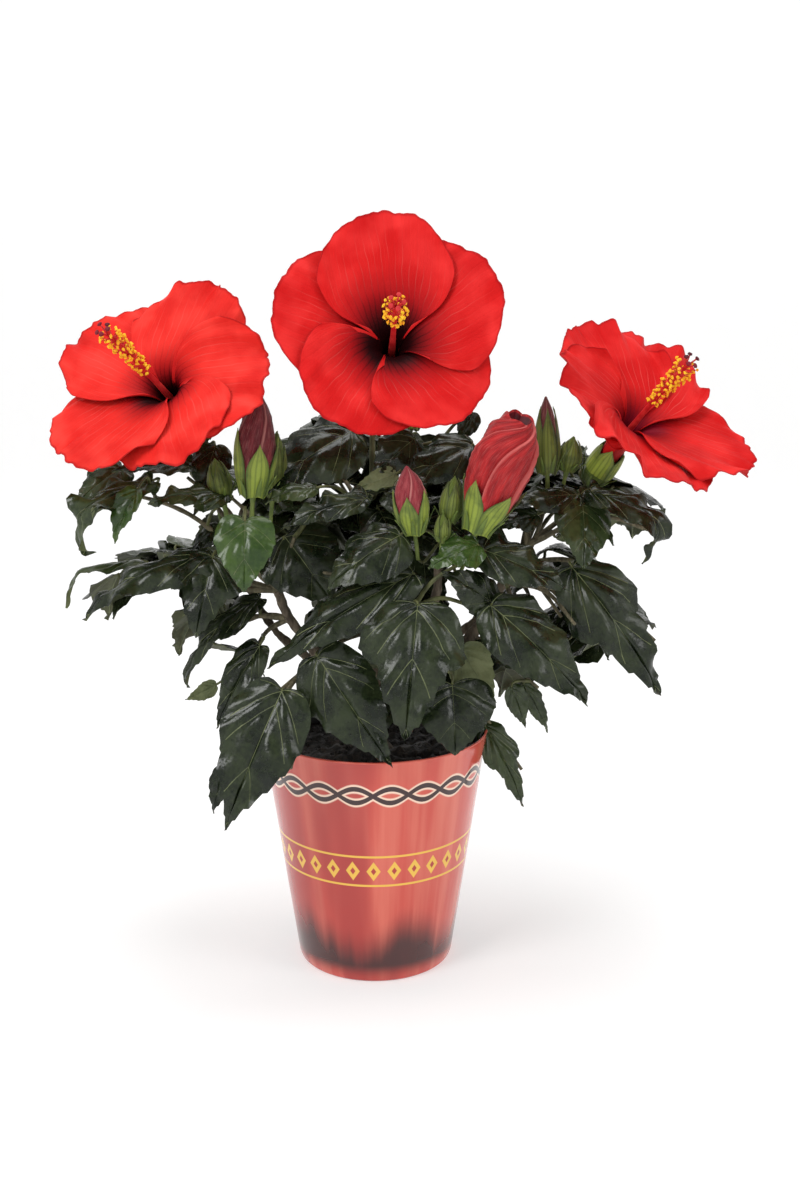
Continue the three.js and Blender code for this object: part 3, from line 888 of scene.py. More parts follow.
@dataclass
class Wood:
    """The stem, boughs and flower stalks with their relief, and the lines that twigs grow from."""

    stem: str = "main_stem"
    boughs: tuple[str, ...] = ("bough_left", "bough_right", "bough_centre", "bough_left_rear", "bough_rear",
                               "bough_right_rear")
    stalks: tuple[str, ...] = ("flower_stalk_centre", "flower_stalk_left", "flower_stalk_right")
    step: float = 0.9
    neck: float = 6.3
    stem_sides: int = 40
    bough_sides: int = 22
    bough_fit: float = 0.96
    stalk_sides: int = 16
    stalk_fit: float = 0.9
    stalk_joint: float = 0.45
    bark: BarkFinish = BarkFinish("bark", (0.058, 0.042, 0.027), (0.17, 0.135, 0.092))
    green_bark: BarkFinish = BarkFinish("green_bark", (0.075, 0.085, 0.03), (0.19, 0.19, 0.085), 0.6)
    lines: dict[str, Array] = field(default_factory=dict)

    def relief(self, seed: int, depth: float, joints: float) -> Callable[[Array, Array], Array]:
        """Bark relief for one limb.

        Args:
            seed: The seed of its waves.
            depth: How deep the relief is.
            joints: The distance between the swellings where leaves once stood.

        Returns:
            A function that gives how far the bark stands out.
        """
        cracks, lumps = Ripple(seed, 1.6, 6.0, 14), Ripple(seed + 100, 8.0, 30.0, 8)
        stretch = np.array([1.0, 1.0, 0.3])

        def height(grid: Array, run: Array) -> Array:
            """How far the bark stands out."""
            swelling = np.exp(-((np.mod(run + 5 * sin(seed), joints) - joints / 2) / 1.3) ** 2)
            return depth * (cracks.at(grid * stretch) + 1.4 * lumps.at(grid) + 1.6 * swelling[:, None])

        return height

    def build_limb(self, skin: Skin, name: str, knots: Array, radii: Array, sides: int,
                   relief: Callable[[Array, Array], Array], swelling: float = 0.0) -> None:
        """Makes a limb through its rings, and keeps its middle line.

        Args:
            skin: What it is added to.
            name: The limb's name.
            knots: The rings' middles.
            radii: Their radii.
            sides: How many faces go round it.
            relief: Its bark.
            swelling: How much a joint swells it, as a share of its radius.
        """
        length = np.linalg.norm(np.diff(knots, axis=0), axis=1).sum()
        share = np.linspace(0, 1, max(8, int(length / self.step)))
        path = self.lines[name] = smooth_path(knots, len(share))
        thick = np.interp(share, np.linspace(0, 1, len(radii)), radii)
        swell = 1 + swelling * np.exp(-((share - 0.62) / 0.05) ** 2)
        skin.add_tube(path, thick * swell, sides, 0, relief)

    def build(self) -> None:
        """Makes the stem, each bough and each flower stalk as a piece of its own."""
        bark, green = made(self.bark, self.green_bark)
        top = self.build_stem(bark)
        for seed, name in enumerate(self.boughs):
            knots, radii = centreline(name)
            knots = np.vstack([top + (knots[0] - top) * 0.1, knots])
            radii = np.concatenate([[radii[0] * 1.1], radii]) * self.bough_fit
            skin = Skin()
            self.build_limb(skin, name, knots, radii, self.bough_sides, self.relief(seed + 1, 0.16, 17.0))
            skin.hand_over(name + "_bark", [bark], Slot.BARK, [name])
        for seed, name in enumerate(self.stalks):
            knots, radii = centreline(name)
            skin = Skin()
            self.build_limb(skin, name, knots, radii * self.stalk_fit, self.stalk_sides,
                            self.relief(seed + 20, 0.07, 60.0), self.stalk_joint)
            skin.hand_over(name + "_skin", [green], Slot.STALK, [name])

    def build_stem(self, bark: Material) -> Array:
        """Makes the stem with its root flare.

        Args:
            bark: Its material.

        Returns:
            The middle of its top.
        """
        low, high = node_box(self.stem)
        points = node_points(self.stem)
        height = high[2] - low[2]
        levels = np.linspace(0, 1, 60)
        foot = points[points[:, 2] < low[2] + 0.5][:, :2].mean(0)
        head = points[points[:, 2] > low[2] + height * 0.85][:, :2].mean(0)
        path = np.column_stack([foot + (head - foot) * levels[:, None], low[2] + height * levels])
        flare = 1 + 0.55 * np.exp(-levels * 7.5)
        lobes = Ripple(3, 9.0, 16.0, 6)
        fine = self.relief(40, 0.26, 11.0)

        def height_of(grid: Array, run: Array) -> Array:
            """How far the bark and the roots' swellings stand out."""
            return fine(grid, run) + 0.9 * lobes.at(grid * np.array([1, 1, 0.25])) * np.exp(-run / 9.0)[:, None]

        skin = Skin()
        skin.add_tube(path, self.neck * flare * (1 - 0.16 * levels), self.stem_sides, 0, height_of)
        self.lines[self.stem] = path
        skin.hand_over("stem_bark", [bark], Slot.BARK, [self.stem])
        return path[-1]


# ---- studio


@dataclass(frozen=True)
class Softbox:
    """A soft square lamp and where it points."""

    name: str
    place: Vec
    width: float
    watts: float
    aim: Vec = (0.0, 0.0, 220.0)


@dataclass(frozen=True)
class Studio:
    """A pale floor that sweeps up all round, soft lamps and the camera."""

    eye: Vec = (15.7, -891.7, 433.0)
    pitch: float = 12.86
    lens: float = 45.0
    sensor: float = 36.0
    floor_radius: float = 2300.0
    sweep_radius: float = 900.0
    wall_height: float = 2600.0
    sides: int = 96
    floor_colour: Colour = (0.62, 0.62, 0.62)
    floor_glow: float = 0.4
    sky: Colour = (1.0, 0.99, 0.975)
    sky_strength: float = 0.355
    lamps: tuple[Softbox, ...] = (
        Softbox("key_softbox", (-900.0, -1000.0, 1500.0), 650.0, 13.6),
        Softbox("fill_softbox", (1200.0, -800.0, 1150.0), 550.0, 4.2),
        Softbox("top_softbox", (0.0, 150.0, 2100.0), 1200.0, 16.4),
        Softbox("wall_softbox", (0.0, 700.0, 2500.0), 2000.0, 14.0, (0.0, 3200.0, 700.0)),
    )

    def build_camera(self) -> None:
        """Sets the camera that the scene is seen through."""
        data = bpy.data.cameras.new("camera")
        data.lens = self.lens
        data.sensor_width = self.sensor
        data.sensor_fit = "AUTO"
        data.clip_end = 50.0
        camera = bpy.data.objects.new("camera", data)
        camera.location = Vector(self.eye) * MM
        camera.rotation_euler = (radians(90.0 - self.pitch), 0.0, 0.0)
        bpy.context.scene.collection.objects.link(camera)
        bpy.context.scene.camera = camera

    def build_floor(self) -> None:
        """Makes the floor and its sweep as one turned sheet."""
        outline = [(1.0, 0.0)]
        outline += [(radius, 0.0) for radius in np.geomspace(60.0, self.floor_radius, 14)]
        for k in range(1, 13):
            turn = pi / 2 * k / 12
            outline.append((self.floor_radius + self.sweep_radius * sin(turn),
                            self.sweep_radius * (1 - cos(turn))))
        outline.append((self.floor_radius + self.sweep_radius, self.wall_height))
        turn = turns(self.sides)
        rows = np.array(outline)
        grid = stacked(rows[:, 0, None] * np.cos(turn), rows[:, 0, None] * np.sin(turn), rows[:, 1, None])
        skin = Skin()
        skin.add_grid(grid, wrap=True, flip=True)
        shader = Shader("pale_floor")
        cloud = shader.mix(shader.noise(3.0, 2.0), self.floor_colour, tuple(1.01 * c for c in self.floor_colour))
        pale = shader.set(Base_Color=cloud, Roughness=0.9, Emission_Color=(1.0, 1.0, 1.0),
                          Emission_Strength=self.floor_glow)
        floor = skin.build("floor_sweep", [pale])

    def build_light(self) -> None:
        """Sets the soft lamps and the pale sky."""
        for lamp in self.lamps:
            data = bpy.data.lights.new(lamp.name, "AREA")
            data.shape = "SQUARE"
            data.size = lamp.width * MM
            data.energy = lamp.watts
            obj = bpy.data.objects.new(lamp.name, data)
            obj.location = Vector(lamp.place) * MM
            aim = (Vector(lamp.aim) - Vector(lamp.place)).to_track_quat("-Z", "Y")
            obj.rotation_euler = aim.to_euler()
            bpy.context.scene.collection.objects.link(obj)
        world = bpy.data.worlds.new("pale_sky")
        world.use_nodes = True
        background = world.node_tree.nodes["Background"]
        background.inputs["Color"].default_value = (*self.sky, 1.0)
        background.inputs["Strength"].default_value = self.sky_strength
        bpy.context.scene.world = world
        bpy.context.scene.view_settings.view_transform = "Standard"

    def build(self) -> None:
        """Sets up the whole studio."""
        self.build_camera()
        self.build_floor()
        self.build_light()


# ---- flowers and buds


@dataclass(frozen=True)
class PetalFinish:
    """Scarlet petals with a dark throat, fine radiating veins and a soft silky surface."""

    name: str
    scarlet: Colour = (0.58, 0.01, 0.01)
    light: Colour = (0.73, 0.028, 0.026)
    vein: Colour = (0.42, 0.003, 0.005)
    throat: Colour = (0.012, 0.0006, 0.0012)
    # The dark red of the ring round the throat, also used for the painted shade along the outer rim.
    ring: Colour = (0.22, 0.002, 0.005)
    pale_vein: Colour = (0.78, 0.14, 0.12)
    throat_reach: float = 0.5
    veins: float = 21.0

    def material(self) -> Material:
        """Veins that fan out from the foot and fork, over a colour that darkens to the throat, and a thin line of
        painted shade along the rim.

        Returns:
            The material.
        """
        shader = Shader(self.name)
        side, run = shader.mapped()
        sway = shader.noise(1.0, 2.0, shader.vector(side * 3.0, run * 2.5)) - 0.5
        fan = side + sway * 0.11
        fine = fan.lines(2 * self.veins, 4.0) * run.spread(0.35, 0.75)
        lines = fan.lines(self.veins, 4.0).sum("MAXIMUM", fine * 0.6)
        cloud = shader.noise(55.0, 2.0).spread(0.35, 0.7) * run.spread(0.3, 0.95)
        base = shader.mix(cloud, self.scarlet, self.light)
        base = base.mix(sway.spread(-0.15, 0.15) * 0.35, self.vein)
        patchy = shader.noise(1.0, 3.0, shader.vector(side * 14.0, run * 3.0))
        thin = lines ** 2.0 * patchy.spread(0.36, 0.62)
        glow = run.spread(0.98, 0.6) * run.spread(0.34, 0.5)
        base = base.mix(glow * thin * 0.48, self.pale_vein)
        # Painted shade: a thin dark line along the outer rim, for the petal's edge seen in shade.
        base = base.mix(run.spread(0.975, 0.995) * 0.5, self.ring)
        streak = run + lines * -0.05 + sway * 0.1
        reach = self.throat_reach
        base = base.mix(streak.spread(reach * 1.45, reach * 0.75), self.ring)
        base = base.mix(streak.spread(reach * 1.05, reach * 0.66), self.throat)
        silk = shader.bump(shader.noise(500.0, 2.0) + lines * -0.7, 0.0003, 0.5)
        return shader.set(Base_Color=base, Roughness=0.55, Normal=silk, IOR=1.22, Specular_IOR_Level=0.25)


@dataclass(frozen=True)
class PlainFinish:
    """A soft plant surface: two colours in cloudy patches, with fine relief."""

    name: str
    dark: Colour
    light: Colour
    roughness: float
    grain: float = 600.0
    depth: float = 0.0002

    def material(self) -> Material:
        """Cloudy patches and a fine grain.

        Returns:
            The material.
        """
        shader = Shader(self.name)
        colour = shader.mix(shader.noise(140.0, 3.0).spread(0.32, 0.68), self.dark, self.light)
        grain = shader.bump(shader.noise(self.grain, 3.0), self.depth, 0.6)
        return shader.set(Base_Color=colour, Roughness=self.roughness, Normal=grain, IOR=1.4)


@dataclass(frozen=True)
class RibbedFinish:
    """A green calyx with darker ribs that run from foot to tip."""

    name: str
    green: Colour = (0.26, 0.33, 0.042)
    dark: Colour = (0.045, 0.08, 0.012)
    tip: Colour = (0.22, 0.27, 0.04)
    ribs: float = 5.0

    def material(self) -> Material:
        """Ribs along each sepal, darker towards the edges, and another green towards the tip.

        Returns:
            The material.
        """
        shader = Shader(self.name)
        side, run = shader.mapped()
        rib = side.lines(self.ribs, 1.6)
        cloud = shader.noise(110.0, 3.0)
        colour = shader.mix(run.spread(0.3, 1.0), self.green, self.tip)
        for shade in (rib * 0.55, abs(side - 0.5).spread(0.26, 0.5) * 0.8, cloud.spread(0.45, 0.7) * 0.65):
            colour = colour.mix(shade, self.dark)
        relief = shader.bump(rib * 0.8 + shader.noise(900.0, 2.0), 0.0004, 0.6)
        return shader.set(Base_Color=colour, Roughness=0.5, Normal=relief, Sheen_Weight=0.1, IOR=1.4)


@dataclass(frozen=True)
class BudFinish:
    """Furled petals, silky and streaked with pale veins."""

    name: str
    # The ground colour, also used for the painted shadow under each lapping edge.
    base: Colour
    # The pale streaks' colour, also used for the painted highlight along the lapping edges.
    streak: Colour
    edge: Colour
    streaks: float = 11.0

    def material(self) -> Material:
        """Streaks that follow the furled petals, a painted highlight along each lapping edge and painted shadow just
        under it.

        Returns:
            The material.
        """
        shader = Shader(self.name)
        side, run = shader.mapped()
        sway = shader.noise(1.0, 3.0, shader.vector(side * 5.0, run * 4.0))
        line = (sway * 0.12 + side).lines(self.streaks, 1.8)
        fine = shader.noise(1.0, 4.0, shader.vector(side * 70.0, run * 7.0))
        colour = shader.mix(sway.spread(0.3, 0.7), self.base, self.edge)
        colour = colour.mix(fine.spread(0.52, 0.66) * 0.45, self.streak)
        colour = colour.mix(fine.spread(0.46, 0.34) * 0.55, self.base)
        # Painted highlight: a pale line along each petal's lapping edge.
        colour = colour.mix(side.spread(0.11, 0.03) * side.spread(0.0, 0.006) * 0.75, self.streak)
        # Painted shadow: darker where the petal runs under the next one's edge.
        colour = colour.mix(side.spread(0.8, 1.0) * 0.55, self.base)
        relief = shader.bump(line * 0.8 + fine, 0.0004, 0.6)
        return shader.set(Base_Color=colour, Roughness=0.5, Normal=relief, Sheen_Weight=0.08,
                          Sheen_Roughness=0.4, IOR=1.3)


@dataclass(frozen=True)
class Stand:
    """An upright frame of its own: an origin, an axis and two directions across it."""

    origin: Array
    axis: Array

    @property
    def up(self) -> Array:
        """The direction across the axis that is nearest to world up."""
        return across(UP if abs(self.axis[2]) < 0.98 else np.array([0.0, 1.0, 0.0]), self.axis)

    @property
    def right(self) -> Array:
        """The direction to the right of up, seen by a viewer that the axis points at."""
        return np.cross(self.up, self.axis)

    def out(self, azimuth: float) -> Array:
        """The direction straight out from the axis at an azimuth in radians, clockwise from up."""
        return self.up * cos(azimuth) + self.right * sin(azimuth)

    def point(self, radius: Array, azimuth: Array, height: Array) -> Array:
        """Places points round the stand.

        Args:
            radius: How far out from the axis they are.
            azimuth: Where round it, in radians clockwise from up.
            height: How far along it.

        Returns:
            The points.
        """
        radius, azimuth, height = np.broadcast_arrays(radius, azimuth, height)
        return (self.origin + self.axis * height[..., None] + self.up * (radius * np.cos(azimuth))[..., None]
                + self.right * (radius * np.sin(azimuth))[..., None])


@dataclass(frozen=True)
class Petal:
    """One petal: its azimuth clockwise from the top, length, half width, opening and curl.

    Laps say whether its left and its right side lie over their neighbours, as 1, or under them, as -1.
    """

    azimuth: float
    length: float
    half_width: float
    opening: float
    curl: float
    laps: tuple[int, int] = (-1, 1)


@dataclass(frozen=True)
class SepalRing:
    """A ring of pointed sepals or bracts round a stand."""

    count: int
    half_angle: float
    start: float
    reach: float
    lift: float
    flare: float
    joined: float = 0.3
    jitter: float = 0.06
    rows: int = 18
    columns: int = 11
    thickness: float = 0.55

    def build(self, skin: Skin, stand: Stand, radius_at: Callable[[Array], Array], turn: float, finish: int,
              seed: int) -> None:
        """Adds the ring.

        Args:
            skin: What it is added to.
            stand: The frame that it stands in.
            radius_at: The radius of what it hugs, for heights along the stand's axis.
            turn: The azimuth of its first sepal, in radians.
            finish: Which material it takes.
            seed: The seed of its unevenness.
        """
        draw = np.random.default_rng(seed)
        share = np.linspace(0, 1, self.rows)[:, None]
        side = np.linspace(-1, 1, self.columns)[None]
        for k in range(self.count):
            reach = self.reach * (1 + self.jitter * draw.normal())
            azimuth = turn + tau * k / self.count + self.jitter * draw.normal()
            outline = 1 - np.clip((share - self.joined) / (1 - self.joined), 0, 1) ** 1.5
            height = self.start + reach * (share - 0.05 * side**2)
            flare = self.flare * (1 + 0.5 * draw.random())
            radius = radius_at(height) + self.lift + flare * share**2.6
            bulge = 0.35 * np.cos(side * pi) * share * (1 - share)
            angle = azimuth + self.half_angle * outline * side + 0.05 * draw.normal() * share**2
            grid = stand.point(radius + bulge - 0.5 * side**2 * share, angle, height)
            mapped = stacked((side + 1) / 2, share)
            skin.add_sheet(grid, self.thickness, (finish, finish), mapped)


@dataclass
class Bloom:
    """A large open flower: five overlapping petals, the column of stamens and the calyx."""

    name: str
    axis: Vec
    petals: tuple[Petal, ...]
    seed: int = 1
    tube_radius: float = 6.0
    tube_length: float = 12.0
    open_length: float = 50.0
    curl_length: float = 35.0
    notch: float = 0.22
    notch_power: float = 2.6
    sharpness: float = 4.0
    overlap: float = 3.1
    close: float = 0.6
    ruffle: float = 1.0
    thickness: float = 0.45
    column_clearance: float = 1.6
    calyx_depth: float = 22.0
    calyx_sides: int = 70
    anthers: int = 78
    anther_start: float = 0.5
    anther_end: float = 0.93
    grains: int = 5
    stigmas: int = 5
    filaments: tuple[float, float] = (3.4, 6.6)
    rows: int = 46
    columns: int = 77

    @property
    def stand(self) -> Stand:
        """The frame at the foot of the petals, found from the column's node."""
        foot, tip = spine("column_" + self.name)
        return Stand(foot - unit(tip - foot) * self.column_clearance, unit(np.array(self.axis)))

    def opening(self, azimuth: Array) -> Pair:
        """Blends the petals' opening and curl between neighbours.

        Args:
            azimuth: Where round the flower, in radians.

        Returns:
            The opening and the curl there, in radians.
        """
        total, opening, curl = 0.0, 0.0, 0.0
        for petal in self.petals:
            weight = np.exp(self.sharpness * np.cos(azimuth - radians(petal.azimuth)))
            total = total + weight
            opening = opening + weight * radians(petal.opening)
            curl = curl + weight * radians(petal.curl)
        return opening / total, curl / total

    def profile(self, azimuth: Array, arc: Array, steps: int = 28) -> Pair:
        """Follows the funnel's surface out from the foot.

        Args:
            azimuth: Where round the flower, in radians.
            arc: The length from the foot.
            steps: In how many steps.

        Returns:
            The radius and the height there.
        """
        opening, curl = self.opening(azimuth)
        radius, height = np.full_like(arc, self.tube_radius), np.zeros_like(arc)
        for k in range(steps):
            here = arc * (k + 0.5) / steps
            curled = np.clip((here - self.open_length) / self.curl_length, 0, 2) ** 1.5
            slope = opening * ease((here - self.tube_length) / (self.open_length - self.tube_length)) + curl * curled
            radius = radius + np.sin(slope) * arc / steps
            height = height + np.cos(slope) * arc / steps
        return radius, height

    def petal_grid(self, index: int) -> Pair:
        """One petal's middle surface.

        Args:
            index: Which petal.

        Returns:
            Its grid of points, from foot to rim and clockwise, and their places on the surface map.
        """
        petal = self.petals[index]
        draw = np.random.default_rng(self.seed * 10 + index)
        run = np.linspace(0, 1, self.rows)[:, None] ** 0.9
        side = np.linspace(-1, 1, self.columns)[None]
        phase = draw.random(8) * tau
        scallop = 0.006 * np.sin(5 * side + phase[0]) + 0.006 * np.sin(13 * side + phase[1])
        scallop = scallop + 0.003 * np.sin(37 * side + phase[2]) + 0.002 * np.sin(61 * side - phase[0])
        taper = self.notch * np.abs(side) ** self.notch_power
        reach = petal.length * (1 - taper) * (1 + self.ruffle * scallop * run**3)
        arc = reach * run
        width = petal.half_width * side * (0.16 + 0.84 * ease(1.35 * run) ** 0.85)
        centre = radians(petal.azimuth)
        middle, _ = self.profile(np.full_like(arc, centre), arc)
        spread = width / np.maximum(middle, self.tube_radius)
        turned = spread / (1 + (np.abs(spread) / 1.2) ** 6) ** (1 / 6)
        radius, height = self.profile(centre + turned, arc)
        grid = self.stand.point(radius, centre + turned, height)
        normals = grid_normals(grid)
        rim = self.ruffle * np.maximum(run**5, 0.8 * np.abs(side) ** 6 * run**2)
        waves = 1.7 * rim * np.sin(9 * side + phase[3] + 2 * run) + 0.9 * rim * np.sin(21 * side + phase[4] - 3 * run)
        folds = 0.75 * run * (1 - 0.4 * run) * np.sin(5.2 * side + phase[5])
        folds = folds + 0.35 * run * np.sin(11 * side + phase[6]) + 0.2 * run * np.sin(29 * side + phase[7])
        folds = folds * (1 - 0.7 * side**4)
        crease = -0.8 * np.exp(-((side / 0.05) ** 2)) * run * (1 - run) * 2
        lap = np.where(side < 0, *petal.laps)
        held = ease(3 * np.abs(side)) * (1 - run**8 * (lap > 0))
        waves = waves * (1 - held) + lap * np.maximum(waves * lap, 0) * held
        apart = (self.close + (self.overlap - self.close) * ease((run - 0.2) / 0.5)) * ease(run * 6)
        lay = lap * np.abs(turned / turned[:, -1:]) * apart
        lift = (lay + waves + folds + crease + self.thickness)[..., None]
        low = 0.18 * max(0.0, -cos(centre)) + taper * run
        mapped = stacked((side + 1) / 2, run - low * (1 - run))
        return grid + normals * lift, mapped

    def build(self, petal: Material, back: Material, flesh: list[Material], calyx: list[Material]) -> None:
        """Makes the petals, the column and the calyx.

        Args:
            petal: The petals' front.
            back: The petals' back.
            flesh: The column, anthers, pollen and stigmas.
            calyx: The sepals and the bracts.
        """
        skin = Skin()
        for index in range(len(self.petals)):
            grid, mapped = self.petal_grid(index)
            skin.add_sheet(grid, self.thickness, (0, 1), mapped)
        skin.hand_over("petals_" + self.name, [petal, back], Slot.PETAL, ["corolla_" + self.name], 75.0)
        self.build_column(flesh)
        self.build_calyx(calyx)

    def build_column(self, flesh: list[Material]) -> None:
        """Makes the column with its anthers and stigmas.

        Args:
            flesh: The column, anthers, pollen and stigmas.
        """
        stand = self.stand
        foot, tip = spine("column_" + self.name)
        length = np.linalg.norm(tip - stand.origin)
        direction = unit(tip - foot)
        draw = np.random.default_rng(self.seed + 300)
        share = np.linspace(0, self.anther_end, 60)
        sag = across(UP, direction) * 1.4
        path = stand.origin + direction * (share * length)[:, None] + sag * np.sin(share * pi)[:, None]
        radii = 2.3 - 0.9 * ease(share * 1.4) + 1.1 * np.exp(-share * 16)
        red, gold = Skin(), Skin()
        red.add_tube(path, radii, 18, 0)
        shaft = Stand(path[0], direction)
        for k in range(self.anthers):
            along = self.anther_start + (self.anther_end - self.anther_start) * (k / self.anthers) ** 0.8
            at = np.array([np.interp(along, share, path[:, axis]) for axis in range(3)])
            turn = k * GOLDEN_TURN + 0.3 * draw.normal()
            out = shaft.out(turn)
            heading = unit(out + direction * draw.uniform(0.15, 0.75))
            span = draw.uniform(0.8, 1.2) * np.interp(along, [self.anther_start, self.anther_end], self.filaments)
            knots = np.array([at, at + heading * span * 0.6, at + heading * span + direction * 0.7])
            gold.add_tube(smooth_path(knots, 6), np.full(6, 0.22), 6, 1)
            head = knots[-1]
            cross = unit(np.cross(heading, draw.normal(size=3)))
            axes = np.array([cross * draw.uniform(1.0, 1.35), np.cross(heading, cross) * 0.78, heading * 0.72])
            gold.add_ball(head, axes, 0, 5, 9, Ripple(int(draw.integers(1e6)), 0.7, 1.6, 6), 0.16)
            for _ in range(self.grains):
                grain = head + axes.T @ unit(draw.normal(size=3)) * 1.02
                gold.add_ball(grain, np.eye(3) * draw.uniform(0.16, 0.26), 2, 2, 5)
        for k in range(self.stigmas):
            turn = tau * (k + 0.3) / self.stigmas
            out = shaft.out(turn)
            end = path[-1] + direction * (length * 0.07 + draw.uniform(0.5, 2.5)) + out * draw.uniform(3.2, 4.4)
            knots = np.array([path[-1], blend(path[-1], end, 0.5) + direction * 0.7, end])
            red.add_tube(smooth_path(knots, 9), np.linspace(0.62, 0.42, 9), 8, 0)
            facing = unit(end - knots[1] + direction)
            side = across(UP, facing)
            pad = np.array([side * 1.45, np.cross(facing, side) * 1.45, facing * 0.85])
            red.add_ball(end, pad, 1, 7, 14, Ripple(int(draw.integers(1e6)), 0.5, 1.1, 8), 0.07)
        red.hand_over("column_red_" + self.name, [flesh[0], flesh[3]], Slot.COLUMN, ["column_" + self.name])
        gold.hand_over("anthers_" + self.name, [flesh[1], flesh[0], flesh[2]], Slot.ANTHER)

    def build_calyx(self, materials: list[Material]) -> None:
        """Makes the ribbed cup, its sepals and the narrow bracts round its foot.

        Args:
            materials: The sepals and the bracts.
        """
        stand = self.stand
        depth = self.calyx_depth

        def cup(height: Array) -> Array:
            """The radius of the cup."""
            return np.interp(height, [-depth, -18.0, -11.0, 0.0, 14.0], [3.0, 6.6, 9.1, 9.2, 8.9])

        skin = Skin()
        turn = turns(self.calyx_sides)
        height = np.concatenate([np.linspace(-depth, -2.0, 26), [-2.0, -6.0]])[:, None]
        inner = np.concatenate([np.zeros(26), [1.2, 1.2]])[:, None]
        rib = 0.28 * np.cos(10 * turn)[None] * ease((height + depth) / 8)
        radius = cup(height) + rib - inner
        mapped = stacked(turn[None] / tau * 5, (height + depth) / 40)
        grid = stand.point(radius, turn[None], height)
        skin.add_grid(grid, 0, mapped, wrap=True, flip=True)
        skin.add_fan(grid[0], stand.origin - stand.axis * depth, 0)
        skin.add_fan(grid[-1], stand.origin - stand.axis * 6.0, 0, flip=True)
        SepalRing(5, 0.68, -8.0, 18.0, 0.35, -1.2, 0.62).build(skin, stand, cup, 0.3, 0, self.seed + 400)
        SepalRing(7, 0.17, -depth + 1.5, 13.0, 0.6, 2.6, 0.1).build(skin, stand, cup, 0.6, 1, self.seed + 401)
        skin.hand_over("calyx_cup_" + self.name, materials, Slot.CALYX, ["calyx_" + self.name], 70.0)


class BudStage(Enum):
    """How far a bud has come."""

    GREEN = "green"
    BURSTING = "bursting"
    COLOURED = "coloured"
    OPENING = "opening"


@dataclass(frozen=True)
class BudShape:
    """How a stage of bud is furled, how late the twist comes, how far its mouth tips, and how its sepals sit."""

    wraps: int
    lip: float
    twist: float
    late: float
    mouth: float
    sepal_reach: float
    sepal_flare: float
    sepal_joined: float
    outline: tuple[float, ...]


BUD_SHAPES = {
    BudStage.GREEN: BudShape(5, 0.05, 0.15, 1.7, 0.0, 0.94, 0.5, 0.6, (0.6, 0.88, 1.0, 0.95, 0.78, 0.5, 0.08)),
    BudStage.BURSTING: BudShape(5, 0.06, 0.12, 1.7, 0.0, 0.84, 0.4, 0.6, (0.7, 0.96, 1.0, 0.9, 0.74, 0.5, 0.1)),
    BudStage.COLOURED: BudShape(4, 0.08, 0.16, 1.7, 0.0, 0.62, 1.0, 0.5, (0.62, 0.88, 1.0, 0.98, 0.86, 0.6, 0.1)),
    BudStage.OPENING: BudShape(5, 0.17, 0.34, 5.0, 2.2, 0.4, 2.4, 0.42, (0.46, 0.7, 0.89, 0.99, 1.0, 0.84, 0.5)),
}


